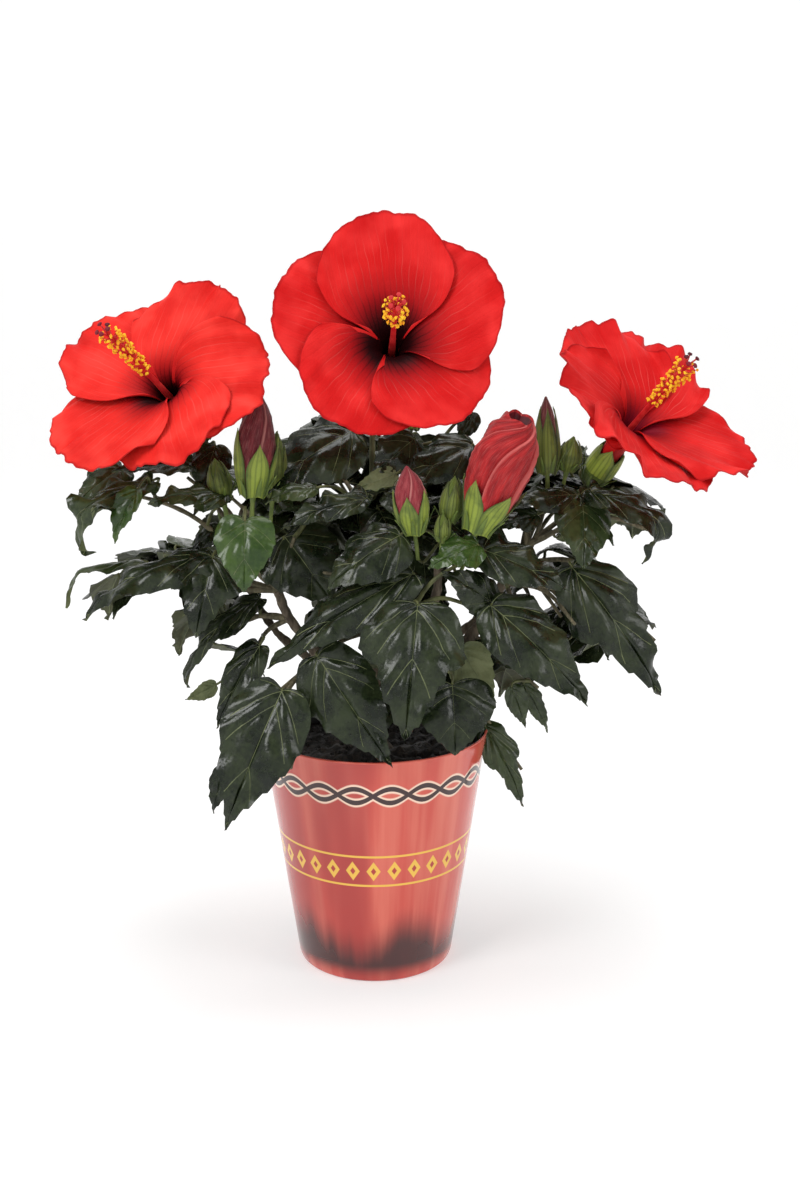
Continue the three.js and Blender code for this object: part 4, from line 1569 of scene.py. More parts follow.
@dataclass
class Bud:
    """A closed or half-open bud on its stalk, in its calyx."""

    node: str
    stage: BudStage
    radius: float
    stalk: float
    seed: int
    petals: int = 0
    turn: float = 0.0
    furl: float = 0.0

    def build(self, furled: Material, others: list[Material]) -> Array:
        """Makes the bud.

        Args:
            furled: The furled petals.
            others: The sepals, the bracts, the stalk and the inside of the mouth.

        Returns:
            The foot of its stalk.
        """
        foot, tip = spine(self.node)
        axis, length = unit(tip - foot), float(np.linalg.norm(tip - foot))
        start = length * self.stalk
        body = length - start
        stand = Stand(foot, axis)
        shape = BUD_SHAPES[self.stage]
        knots = np.linspace(0, 1, len(shape.outline))

        def hull(height: Array) -> Array:
            """The radius of the furled petals."""
            return self.radius * np.interp((height - start) / body, knots, shape.outline)

        skin = Skin()
        self.add_body(skin, stand, shape, start, body)
        path = foot + axis * np.linspace(0, start + 1.5, 22)[:, None]
        thick = 1.25 + 0.9 * np.exp(-((np.linspace(0, 1, 22) - 1) / 0.18) ** 2)
        skin.add_tube(path, thick, 12, 3, Wood().relief(self.seed, 0.05, 60.0))
        reach = shape.sepal_reach * body
        SepalRing(5, 0.64, start - 0.5, reach, 0.6, shape.sepal_flare, shape.sepal_joined).build(
            skin, stand, hull, 0.4 + self.turn, 1, self.seed)
        SepalRing(7, 0.18, start + 0.3, min(11.0, 0.28 * body), 1.1, 2.2, 0.1).build(
            skin, stand, hull, 0.1 + self.turn, 2, self.seed + 1)
        skin.hand_over(self.node + "_furled", [furled, *others], Slot.BUD, [self.node], 62.0)
        return foot

    def add_body(self, skin: Skin, stand: Stand, shape: BudShape, start: float, body: float) -> None:
        """Adds the furled petals: a spindle whose petals lap over each other along spiral edges.

        Args:
            skin: What they are added to.
            stand: The frame that they stand in.
            shape: How they are furled.
            start: Where on the stand they start.
            body: How long they are.
        """
        relief = Ripple(self.seed, 3.0, 12.0, 10)
        share = np.linspace(0.0, 1.0, 54)[:, None]
        side = np.concatenate([[0.0, 0.015, 0.035, 0.07], np.linspace(0.12, 1.0, 17)[:-1]])
        across_all = (np.arange(shape.wraps)[:, None] + side).ravel()[None] / shape.wraps
        side = np.tile(side, shape.wraps)[None]
        turn = tau * (self.furl - across_all - shape.twist * share**shape.late)
        knots = np.linspace(0, 1, len(shape.outline))
        smooth = smooth_path(np.column_stack([knots, shape.outline]), 200)
        radius = self.radius * np.interp(share, smooth[:, 0], smooth[:, 1])
        lip = np.interp(side, [0.0, 0.015, 0.035], [0.0, 0.75, 1.0]) * (1 - side) ** 1.5
        radius = radius * (1 + shape.lip * (lip - 0.5) * ease(share * 3))
        crown = 1 - 0.02 * (1 - np.sin(pi * side)) * share**5
        front = -(stand.up[1] * np.cos(turn) + stand.right[1] * np.sin(turn))
        height = start + body * share * crown - shape.mouth * (1.2 + front) * share**6
        grid = stand.point(radius, turn, height)
        grid = grid + (grid - stand.origin - stand.axis * height[..., None]) * (0.012 * relief.at(grid))[..., None]
        mapped = stacked(side, share)
        skin.add_grid(grid, 0, mapped, wrap=True)
        skin.add_fan(grid[0], stand.origin + stand.axis * start, 0, flip=True)
        if shape.mouth == 0.0:
            skin.add_fan(grid[-1], stand.origin + stand.axis * (start + body + 0.6), 0)
            return
        rim = grid[-1]
        centre = stand.origin + stand.axis * (start + body - shape.mouth)
        well = np.array([centre + (rim - centre) * size - stand.axis * drop
                         for size, drop in ((1.0, 0.0), (0.95, -0.5), (0.88, 0.8), (0.74, 5.0), (0.4, 10.0))])
        skin.add_grid(well[:3], 0, np.repeat(mapped[-1][None], 3, 0), wrap=True)
        skin.add_grid(well[2:], 4, np.repeat(mapped[-1][None], 3, 0), wrap=True)
        skin.add_fan(well[-1], centre - stand.axis * 12.0, 4)


@dataclass
class Flowers:
    """All the blooms and buds."""

    blooms: tuple[Bloom, ...] = (
        Bloom("centre", (0.02, -0.871, 0.491), (
            Petal(355, 97, 47, 73, 8, (1, 1)), Petal(56, 92, 52, 70, 6), Petal(134, 84, 52, 89, 8),
            Petal(213, 84, 55, 85, 9), Petal(292, 94, 49, 73, 5, (-1, -1))), 1,
            anthers=56, anther_start=0.69, filaments=(5.4, 7.0)),
        Bloom("left", (-0.336, -0.691, 0.64), (
            Petal(17, 89, 47, 75, 6, (1, -1)), Petal(85, 89, 50, 93, 10, (1, -1)), Petal(149, 88, 47, 79, 9, (1, -1)),
            Petal(209, 95, 46, 73, 7, (1, -1)), Petal(293, 95, 42, 83, 6, (1, -1))), 2,
            ruffle=1.7, anthers=104),
        Bloom("right", (0.387, -0.532, 0.753), (
            Petal(5, 93, 48, 78, 9), Petal(44, 96, 44, 79, 9), Petal(144, 95, 50, 74, 3),
            Petal(210, 97, 52, 73, -4), Petal(293, 85, 48, 66, 5)), 3,
            ruffle=2.2, anthers=104, anther_start=0.55),
    )
    buds: tuple[Bud, ...] = (
        Bud("bud_red_opening", BudStage.OPENING, 17.0, 0.28, 31, 0, furl=0.006),
        Bud("bud_left_dark", BudStage.COLOURED, 11.5, 0.34, 32, 1),
        Bud("bud_left_green", BudStage.GREEN, 6.8, 0.4, 33, 2),
        Bud("bud_left_small", BudStage.GREEN, 6.6, 0.5, 34, 2),
        Bud("bud_pink", BudStage.COLOURED, 9.3, 0.32, 35, 3),
        Bud("bud_green_centre", BudStage.GREEN, 6.3, 0.5, 36, 2),
        Bud("bud_green_low", BudStage.GREEN, 4.1, 0.46, 41, 2),
        Bud("bud_right_tall", BudStage.BURSTING, 7.3, 0.28, 37, 4),
        Bud("bud_right_short", BudStage.GREEN, 6.8, 0.48, 38, 2),
        Bud("bud_rear", BudStage.COLOURED, 8.3, 0.4, 39, 3),
        Bud("bud_left_rear", BudStage.GREEN, 7.2, 0.42, 40, 2),
    )

    def build(self) -> list[Array]:
        """Makes them all.

        Returns:
            The feet of the buds' stalks.
        """
        flesh = made(
            PlainFinish("column_red", (0.5, 0.01, 0.014), (0.66, 0.035, 0.032), 0.42),
            PlainFinish("anther_gold", (0.86, 0.36, 0.008), (1.0, 0.6, 0.02), 0.75, 1500.0, 0.0003),
            PlainFinish("pollen", (1.0, 0.58, 0.02), (1.0, 0.72, 0.06), 0.8),
            PlainFinish("stigma", (0.42, 0.01, 0.018), (0.66, 0.035, 0.035), 0.7, 2500.0, 0.0003))
        ripe, stalk, inside = made(
            PlainFinish("stigma_ripe", (0.07, 0.003, 0.01), (0.2, 0.008, 0.02), 0.7, 2500.0, 0.0003),
            PlainFinish("bud_stalk", (0.1, 0.15, 0.03), (0.17, 0.22, 0.05), 0.55),
            PlainFinish("bud_inside", (0.06, 0.002, 0.006), (0.17, 0.004, 0.012), 0.6))
        sepal, bract, closed = made(
            RibbedFinish("sepal"),
            RibbedFinish("bract", (0.13, 0.19, 0.032), (0.05, 0.085, 0.015), (0.16, 0.22, 0.04), 1.0),
            RibbedFinish("sepal_closed", (0.15, 0.19, 0.026), (0.026, 0.044, 0.008), (0.13, 0.16, 0.026)))
        back, *faces = made(
            PetalFinish("petal_back", (0.56, 0.012, 0.012), (0.68, 0.035, 0.03), (0.42, 0.008, 0.01),
                        (0.34, 0.02, 0.02), (0.46, 0.02, 0.02), throat_reach=0.06),
            PetalFinish("petal_front"),
            # The left bloom's front: a brighter copy of the petal, painted light for the stronger light it catches.
            PetalFinish("petal_painted_lit", (0.68, 0.02, 0.015), (0.84, 0.048, 0.036), throat_reach=0.38),
            PetalFinish("petal_soft_throat", throat=(0.16, 0.003, 0.012), throat_reach=0.38))
        for bloom, face in zip(self.blooms, faces):
            flesh[3] = flesh[3] if bloom.name == "centre" else ripe
            bloom.build(face, back, flesh, [sepal, bract])
        furled = made(
            BudFinish("bud_red", (0.24, 0.006, 0.009), (0.55, 0.12, 0.11), (0.5, 0.018, 0.02)),
            BudFinish("bud_maroon", (0.085, 0.008, 0.012), (0.42, 0.17, 0.15), (0.17, 0.018, 0.024)),
            BudFinish("bud_green", (0.13, 0.18, 0.03), (0.2, 0.24, 0.06), (0.08, 0.12, 0.02)),
            BudFinish("bud_rose", (0.2, 0.014, 0.024), (0.55, 0.22, 0.2), (0.34, 0.045, 0.055)),
            BudFinish("bud_dusk", (0.1, 0.018, 0.02), (0.42, 0.21, 0.18), (0.22, 0.06, 0.058)))
        covers = {BudStage.GREEN: closed, BudStage.BURSTING: closed}
        return [bud.build(furled[bud.petals], [covers.get(bud.stage, sepal), bract, stalk, inside])
                for bud in self.buds]


# ---- leaves


@dataclass(frozen=True)
class LeafFinish:
    """The front or back of a leaf: cloudy green, a fine net of veins and a waxy shine."""

    name: str
    dark: Colour
    light: Colour
    roughness: tuple[float, float]
    net_depth: float = 0.0002
    dimple_depth: float = 0.00025
    coat: float = 0.0

    def material(self) -> Material:
        """Cloudy colour, a net of small veins and patchy gloss.

        Returns:
            The material.
        """
        shader = Shader(self.name)
        cloud = shader.noise(70.0, 4.0)
        fleck = shader.noise(420.0, 3.0)
        share = fleck * 0.35 + cloud * 0.75
        colour = shader.mix(share.spread(0.38, 0.74), self.dark, self.light)
        rough = cloud.spread(0.3, 0.7, *self.roughness)
        dimples = shader.bump(shader.noise(130.0, 2.0), self.dimple_depth, 0.6)
        net = shader.bump(shader.cells(520.0) + fleck * 0.6, self.net_depth, 0.45, dimples)
        return shader.set(Base_Color=colour, Roughness=rough, IOR=1.32, Coat_Weight=self.coat,
                          Coat_Roughness=0.18, Normal=net)


class Tint(Enum):
    """Which colours a spray's leaf takes, as numbers of the piece's front and back materials."""

    DARK = (0, 1)
    MID = (3, 4)
    YOUNG = (5, 4)


VEIN_FINISH = 2


@dataclass(frozen=True)
class LeafPattern:
    """A leaf's flat outline, as shares of its length.

    Each knot gives where a side vein leaves the midrib, and how far along and out the margin is where that vein
    ends. The teeth stand on the stretch from tooth_start on.
    """

    knots: tuple[Vec, ...]
    teeth: int
    tooth_start: float
    tooth_depth: float

    @property
    def widest(self) -> float:
        """The greatest half width."""
        return max(knot[2] for knot in self.knots)


class LeafForm(Enum):
    """The kinds of leaf outline."""

    OVATE = LeafPattern((
        (0.0, 0.0, 0.0), (0.0, -0.035, 0.15), (0.0, 0.04, 0.29), (0.0, 0.18, 0.375), (0.01, 0.35, 0.375),
        (0.13, 0.53, 0.31), (0.38, 0.69, 0.205), (0.62, 0.83, 0.1), (0.85, 0.935, 0.033), (1.0, 1.0, 0.0),
    ), 6, 0.36, 0.022)
    LOBED = LeafPattern((
        (0.0, 0.0, 0.0), (0.0, -0.04, 0.15), (0.0, 0.04, 0.31), (0.0, 0.2, 0.42), (0.0, 0.39, 0.46),
        (0.05, 0.47, 0.32), (0.16, 0.57, 0.26), (0.38, 0.71, 0.2), (0.62, 0.85, 0.11), (0.85, 0.95, 0.04),
        (1.0, 1.0, 0.0),
    ), 6, 0.28, 0.03)
    HEART = LeafPattern((
        (0.0, 0.0, 0.0), (0.0, -0.085, 0.14), (0.0, -0.06, 0.33), (0.0, 0.1, 0.44), (0.01, 0.3, 0.455),
        (0.13, 0.5, 0.38), (0.36, 0.68, 0.26), (0.6, 0.84, 0.14), (0.86, 0.95, 0.05), (1.0, 1.0, 0.0),
    ), 6, 0.38, 0.02)


@dataclass(frozen=True)
class LeafPose:
    """How a leaf bends: all but the wave are angles.

    Arch is how far its tip turns down, fold how far its halves rise from the midrib, roll how far they curl down
    again to the margin, twist how far the tip turns over and sweep how far it turns aside. Hook is how much
    further the last third turns down. Wave is the height of the ripples along the margin, as a share of the length.
    """

    arch: float = 35.0
    fold: float = 12.0
    roll: float = 30.0
    twist: float = 0.0
    sweep: float = 0.0
    wave: float = 0.02
    hook: float = 0.0


@dataclass(frozen=True)
class LeafGrain:
    """How finely a leaf is made: rows to a tooth, rows before the teeth, and columns on each side."""

    tooth_rows: int
    base_rows: int
    columns: int


FINE = LeafGrain(5, 9, 7)
PLAIN = LeafGrain(4, 6, 5)


@dataclass
class Leaf:
    """One leaf blade from the end of its stalk to its tip."""

    base: Array
    tip: Array
    facing: Array
    half_width: float
    form: LeafForm
    pose: LeafPose
    tint: Tint
    seed: int
    grain: LeafGrain = PLAIN
    thickness: float = 0.32
    pucker: float = 0.019
    midrib: tuple[float, float] = (0.58, 0.2)
    side_vein: tuple[float, float] = (0.42, 0.32)
    last_tooth: float = 0.965

    def rows(self) -> tuple[Array, Array, list[int]]:
        """The rows of the blade.

        Returns:
            Where each row is along the outline, how far the teeth stand out there, and the rows with a side vein,
            which end in every other tooth.
        """
        pattern = self.form.value
        first = np.linspace(0.035, pattern.tooth_start, self.grain.base_rows, endpoint=False)
        count = pattern.teeth * self.grain.tooth_rows
        phase = np.arange(count) / self.grain.tooth_rows
        last = pattern.tooth_start + (self.last_tooth - pattern.tooth_start) * phase / pattern.teeth
        cycle = np.mod(phase, 1.0)
        peak = 1.0 - 1.0 / self.grain.tooth_rows
        saw = (cycle / peak) ** 1.25 - 0.4
        at = np.concatenate([first, last, [self.last_tooth, 0.985, 0.997]])
        teeth = np.concatenate([np.zeros(len(first)), saw, [-0.3, 0.0, 0.0]])
        veins = [len(first) + k * self.grain.tooth_rows + self.grain.tooth_rows - 1 for k in (0, 1, 3, 5)]
        return at, teeth, [self.grain.base_rows // 2, *veins]

    def flat(self, stretch: float) -> tuple[Array, Array, Array, Array, list[int]]:
        """The flat blade, in shares of its length.

        Args:
            stretch: How much wider than its pattern it is.

        Returns:
            How far across, along and up each point is, its share of the way to the margin, and the vein rows.
        """
        pattern = self.form.value
        at, teeth, veins = self.rows()
        outline = spline_at(np.array(pattern.knots), at)
        rib, along, out = outline.T
        size = np.minimum(1.0, out / 0.1) * pattern.tooth_depth
        along = along + 0.55 * teeth * size
        out = np.maximum(out + teeth * size, 0.004) * stretch
        side = np.linspace(-1, 1, 2 * self.grain.columns + 1)[None]
        share = np.abs(side)
        x = np.sign(side) * share * out[:, None]
        reach = np.hypot(along - rib, out)[:, None]
        y = rib[:, None] + (along - rib)[:, None] * share - 0.22 * reach * share * (1 - share)
        gaps = np.interp(np.arange(len(at)), veins, np.arange(len(veins)), left=0.0, right=len(veins) - 1)
        crest = np.abs(np.sin(pi * gaps))
        z = self.pucker * crest[:, None] * ease(share / 0.25) * (1.05 - 0.6 * share)
        z = z - 0.01 * np.exp(-((share / 0.1) ** 2))
        relief = Ripple(self.seed, 0.1, 0.35, 8)
        points = stacked(x, y, np.zeros_like(x))
        z = z + 0.006 * relief.at(points) * ease(share * 3)
        return x, y, z, np.broadcast_to(side, x.shape), veins

    def bent(self, x: Array, y: Array, z: Array, side: Array) -> Pair:
        """Bends the flat blade.

        Args:
            x: How far across each point is.
            y: How far along.
            z: How far up.
            side: Its signed share of the way to the margin.

        Returns:
            The bent points, and the chord from base to tip.
        """
        pose, draw = self.pose, np.random.default_rng(self.seed)
        phase = draw.random(4) * tau
        ripples = np.sin(tau * (2.3 + draw.random()) * y + np.where(side > 0, phase[0], phase[1]))
        ripples = ripples + 0.5 * np.sin(tau * 5.1 * y + np.where(side > 0, phase[2], phase[3]))
        z = z + pose.wave * side**2 * ripples
        widest = np.abs(x).max()
        fold, curl = radians(pose.fold), -radians(pose.roll) / widest
        curl = curl if abs(curl) > 1e-3 else 1e-3
        angle = fold + curl * np.abs(x)
        out = (np.sin(angle) - sin(fold)) / curl - z * np.sin(angle)
        rise = -(np.cos(angle) - cos(fold)) / curl + z * np.cos(angle)
        out = out * np.sign(x)
        table = np.linspace(-0.2, 1.1, 261)
        pitch = -radians(pose.arch) * np.sign(table) * np.abs(table) ** 1.25
        pitch = pitch - radians(pose.hook) * ease((table - 0.5) / 0.25)
        yaw = radians(pose.sweep) * table**2
        tangent = np.stack([np.sin(yaw) * np.cos(pitch), np.cos(yaw) * np.cos(pitch), np.sin(pitch)], 1)
        line = np.cumsum(tangent, 0) * (table[1] - table[0])
        line = line - np.array([np.interp(0.0, table, line[:, k]) for k in range(3)])

        def look(values: Array, where: Array) -> Array:
            """Reads rows of values between the places of the table."""
            return np.stack([np.interp(where, table, values[:, k]) for k in range(3)], -1)

        flat_side = np.stack([np.cos(yaw), -np.sin(yaw), np.zeros_like(yaw)], 1)
        upward = np.cross(flat_side, tangent)
        turn = (radians(pose.twist) * y)[..., None]
        sideways, over = look(flat_side, y), look(upward, y)
        right = sideways * np.cos(turn) + over * np.sin(turn)
        above = over * np.cos(turn) - sideways * np.sin(turn)
        grid = look(line, y) + right * out[..., None] + above * rise[..., None]
        return grid, look(line, np.array([1.0]))[0]

    def build(self, skin: Skin) -> Array:
        """Adds the blade and its veins.

        Args:
            skin: What they are added to.

        Returns:
            The direction in which the midrib leaves the stalk.
        """
        span = self.tip - self.base
        _, chord = self.bent(*self.flat(1.0)[:4])
        size = float(np.linalg.norm(span) / np.linalg.norm(chord))
        stretch = self.half_width / (size * self.form.value.widest)
        x, y, z, side, veins = self.flat(stretch)
        grid, chord = self.bent(x, y, z, side)
        local_along = unit(chord)
        local_up = across(UP, local_along)
        along = unit(span)
        facing = across(self.facing, along)
        local = np.array([local_along, local_up, np.cross(local_along, local_up)])
        world = np.array([along, facing, np.cross(along, facing)])
        turned = local.T @ world
        grid = self.base + (grid @ turned) * size
        at = np.broadcast_to(np.linspace(0, 1, grid.shape[0])[:, None], side.shape)
        skin.add_sheet(grid, self.thickness, self.tint.value, np.stack([(side + 1) / 2, at], -1))
        self.add_veins(skin, grid, veins, size)
        return np.array([0.0, 1.0, 0.0]) @ turned

    def add_veins(self, skin: Skin, grid: Array, veins: list[int], size: float) -> None:
        """Adds the midrib and the side veins as raised lines that stand out on both faces.

        Args:
            skin: What they are added to.
            grid: The blade's points.
            veins: The rows with a side vein.
            size: The blade's length.
        """
        middle = self.grain.columns
        scale = sqrt(size / 75.0)
        step = 1 if self.grain is FINE else 2
        rib = grid[::step, middle]
        skin.add_tube(rib, np.linspace(*self.midrib, len(rib)) * scale, 5, VEIN_FINISH)
        for row in veins:
            for columns in (slice(middle, None), slice(middle, None, -1)):
                line = grid[row, columns][:-1]
                thin = self.side_vein[0] * (1 - 0.35 * row / grid.shape[0])
                skin.add_tube(line, np.linspace(thin, self.side_vein[1], len(line)) * scale, 4, VEIN_FINISH)


@dataclass(frozen=True)
class LeafPlan:
    """A listed leaf: shares of its spray's box for base and tip, where it faces, and its shape."""

    base: Vec
    tip: Vec
    half_width: float
    facing: Vec = (0.0, -0.7, 0.7)
    pose: LeafPose = LeafPose()
    form: LeafForm = LeafForm.OVATE
    tint: Tint = Tint.DARK


@dataclass
class Twigs:
    """The shoots and leaf stalks of one spray, and the points that more can grow from."""

    skin: Skin = field(default_factory=Skin)
    nodes: list[Array] = field(default_factory=list)

    def add_shoot(self, path: Array, start: float, end: float) -> None:
        """Adds a woody shoot and makes its points ones to grow from.

        Args:
            path: Its middle line.
            start: Its radius at the foot.
            end: Its radius at the tip.
        """
        swelling = 1 + 0.16 * np.abs(np.sin(np.arange(len(path)) * 0.42)) ** 12
        self.skin.add_tube(path, np.linspace(start, end, len(path)) * swelling, 9, 0)
        self.nodes += list(path[2:])

    def nearest(self, point: Array) -> Array:
        """Finds the nearest wood, with points above it counted further.

        Args:
            point: Where to look from.

        Returns:
            The nearest point of the wood.
        """
        nodes = np.array(self.nodes)
        away = point - nodes
        cost = np.linalg.norm(away, axis=1) + 0.7 * np.maximum(0, -away[:, 2])
        return nodes[np.argmin(cost)]

    def add_stalk(self, base: Array, heading: Array) -> None:
        """Adds the stalk from the wood to a leaf's base.

        Args:
            base: The leaf's base.
            heading: The direction in which the leaf starts.
        """
        root = self.nearest(base)
        span = float(np.linalg.norm(base - root))
        if span < 1.0:
            return
        lift = UP * 0.1 * span
        straight = (base - root) / span
        heading = unit(heading + straight * 1.7 * max(0.0, 0.5 - float(heading @ straight)))
        knots = np.array([root, blend(root, base, 0.35) + lift, base - heading * 0.22 * span + lift * 0.3, base])
        path = smooth_path(knots, max(6, int(span / 2.2)))
        thick = 0.95 if span < 45 else 1.25
        self.skin.add_tube(path, np.linspace(thick * 1.25, 0.72, len(path)), 7, 1)
        if span > 30:
            self.nodes += list(path[: len(path) // 2])


@dataclass
class Spray:
    """One mass of foliage: shoots grown on from a limb, listed leaves and leaves that the rule grows."""

    node: str
    limb: str
    shoots: int
    leaves: int
    seed: int
    plans: tuple[LeafPlan, ...] = ()
    length: tuple[float, float] = (46.0, 74.0)
    heading: Vec = (0.0, 0.0, 0.0)
    droop: float = 0.55
    depth: tuple[float, float] = (-0.95, 0.95)
    shoot: tuple[float, float] = (1.75, 0.95)

    def grow_shoots(self, twigs: Twigs, wood: Wood) -> None:
        """Grows the shoots from the limb's end into the mass.

        Args:
            twigs: What they are added to.
            wood: The limbs.
        """
        draw = np.random.default_rng(self.seed)
        low, high = node_box(self.node)
        centre, half = (low + high) / 2, (high - low) / 2
        line = wood.lines[self.limb]
        root = line[np.argmin(np.linalg.norm(line - centre, axis=1))]
        twigs.nodes.append(root)
        for k in range(self.shoots):
            turn = k * GOLDEN_TURN + draw.random() * 0.6
            rise = (k + 0.5) / self.shoots * 1.3 - 0.55
            away = np.array([cos(turn), sin(turn), rise]) * draw.uniform(0.35, 0.75)
            if self.plans:
                away[1] = abs(away[1]) * 0.6
            target = centre + half * away
            span = np.linalg.norm(target - root)
            bend = UP * span * 0.1 + draw.normal(size=3) * span * 0.04
            knots = np.array([root, blend(root, target, 0.5) + bend, target])
            twigs.add_shoot(smooth_path(knots, max(6, int(span / 2.5))), *self.shoot)

    def grow_leaf(self, twigs: Twigs, draw: np.random.Generator, number: int) -> Leaf | None:
        """Tries one leaf of the growing rule.

        Args:
            twigs: The wood that it could grow from.
            draw: The random draw.
            number: Which try it is.

        Returns:
            The leaf, or None where its stalk would be too long or too short.
        """
        low, high = node_box(self.node)
        centre, half = (low + high) / 2, (high - low) / 2
        spot = unit(draw.normal(size=3)) * draw.random() ** 0.45
        spot[1] = np.clip(spot[1], *self.depth)
        middle = centre + half * spot
        length = draw.uniform(*self.length)
        root = twigs.nearest(middle)
        out = unit((middle - root) * np.array([1, 1, 0.35]) + (middle - centre) * 0.5 + draw.normal(size=3) * 7
                   + np.array(self.heading) * 20)
        droop = self.droop + 0.3 * draw.normal()
        along = unit(np.array([out[0], out[1], 0.25 * out[2] - droop]))
        base = middle - along * length * 0.5
        tip = middle + along * length * 0.5
        span = np.linalg.norm(base - twigs.nearest(base))
        if not 3.0 < span < 34.0:
            return None
        facing = unit(UP + np.array([out[0], out[1], 0.0]) * 0.5 + draw.normal(size=3) * 0.22)
        pose = LeafPose(draw.uniform(15, 60), draw.uniform(2, 22), draw.uniform(10, 55), 22 * draw.normal(),
                        14 * draw.normal(), draw.uniform(0.012, 0.034))
        form = [LeafForm.OVATE, LeafForm.OVATE, LeafForm.LOBED][int(draw.integers(3))]
        tint = Tint.MID if number % 6 == 4 else Tint.DARK
        width = length * draw.uniform(0.33, 0.43)
        return Leaf(base, tip, facing, width, form, pose, tint, self.seed * 1000 + number)

    def build(self, wood: Wood, room: "Room", feet: list[Array], materials: list[Material],
              twig_materials: list[Material]) -> None:
        """Grows the spray.

        Args:
            wood: The limbs.
            room: Where leaves may be.
            feet: The feet of the bud stalks, of which it joins up its own.
            materials: The leaves' materials.
            twig_materials: The shoots' and the leaf stalks' materials.
        """
        twigs, skin = Twigs(), Skin()
        self.grow_shoots(twigs, wood)
        low, high = node_box(self.node)
        for foot in feet:
            if np.all(foot > low - 12) and np.all(foot < high + 12) and not room.claimed(foot):
                twigs.add_stalk(foot, UP)
        for number, plan in enumerate(self.plans):
            base, tip = place_in(self.node, plan.base), place_in(self.node, plan.tip)
            leaf = Leaf(base, tip, np.array(plan.facing), plan.half_width, plan.form, plan.pose, plan.tint,
                        self.seed * 100 + number, FINE)
            twigs.add_stalk(base, leaf.build(skin))
            room.take(leaf, True)
        draw = np.random.default_rng(self.seed + 7)
        grown = 0
        for attempt in range(self.leaves * 60):
            if grown == self.leaves:
                break
            leaf = self.grow_leaf(twigs, draw, attempt)
            if leaf is not None and room.allows(leaf, low, high):
                twigs.add_stalk(leaf.base, leaf.build(skin))
                room.take(leaf, False)
                grown += 1
        name = self.node.replace("foliage_", "")
        LOG.info("%s: %d of %d leaves grown", name, grown, self.leaves)
        skin.hand_over("leaves_" + name, materials, Slot.LEAF, [self.node], 70.0)
        twigs.skin.hand_over("twigs_" + name, twig_materials, Slot.STALK)


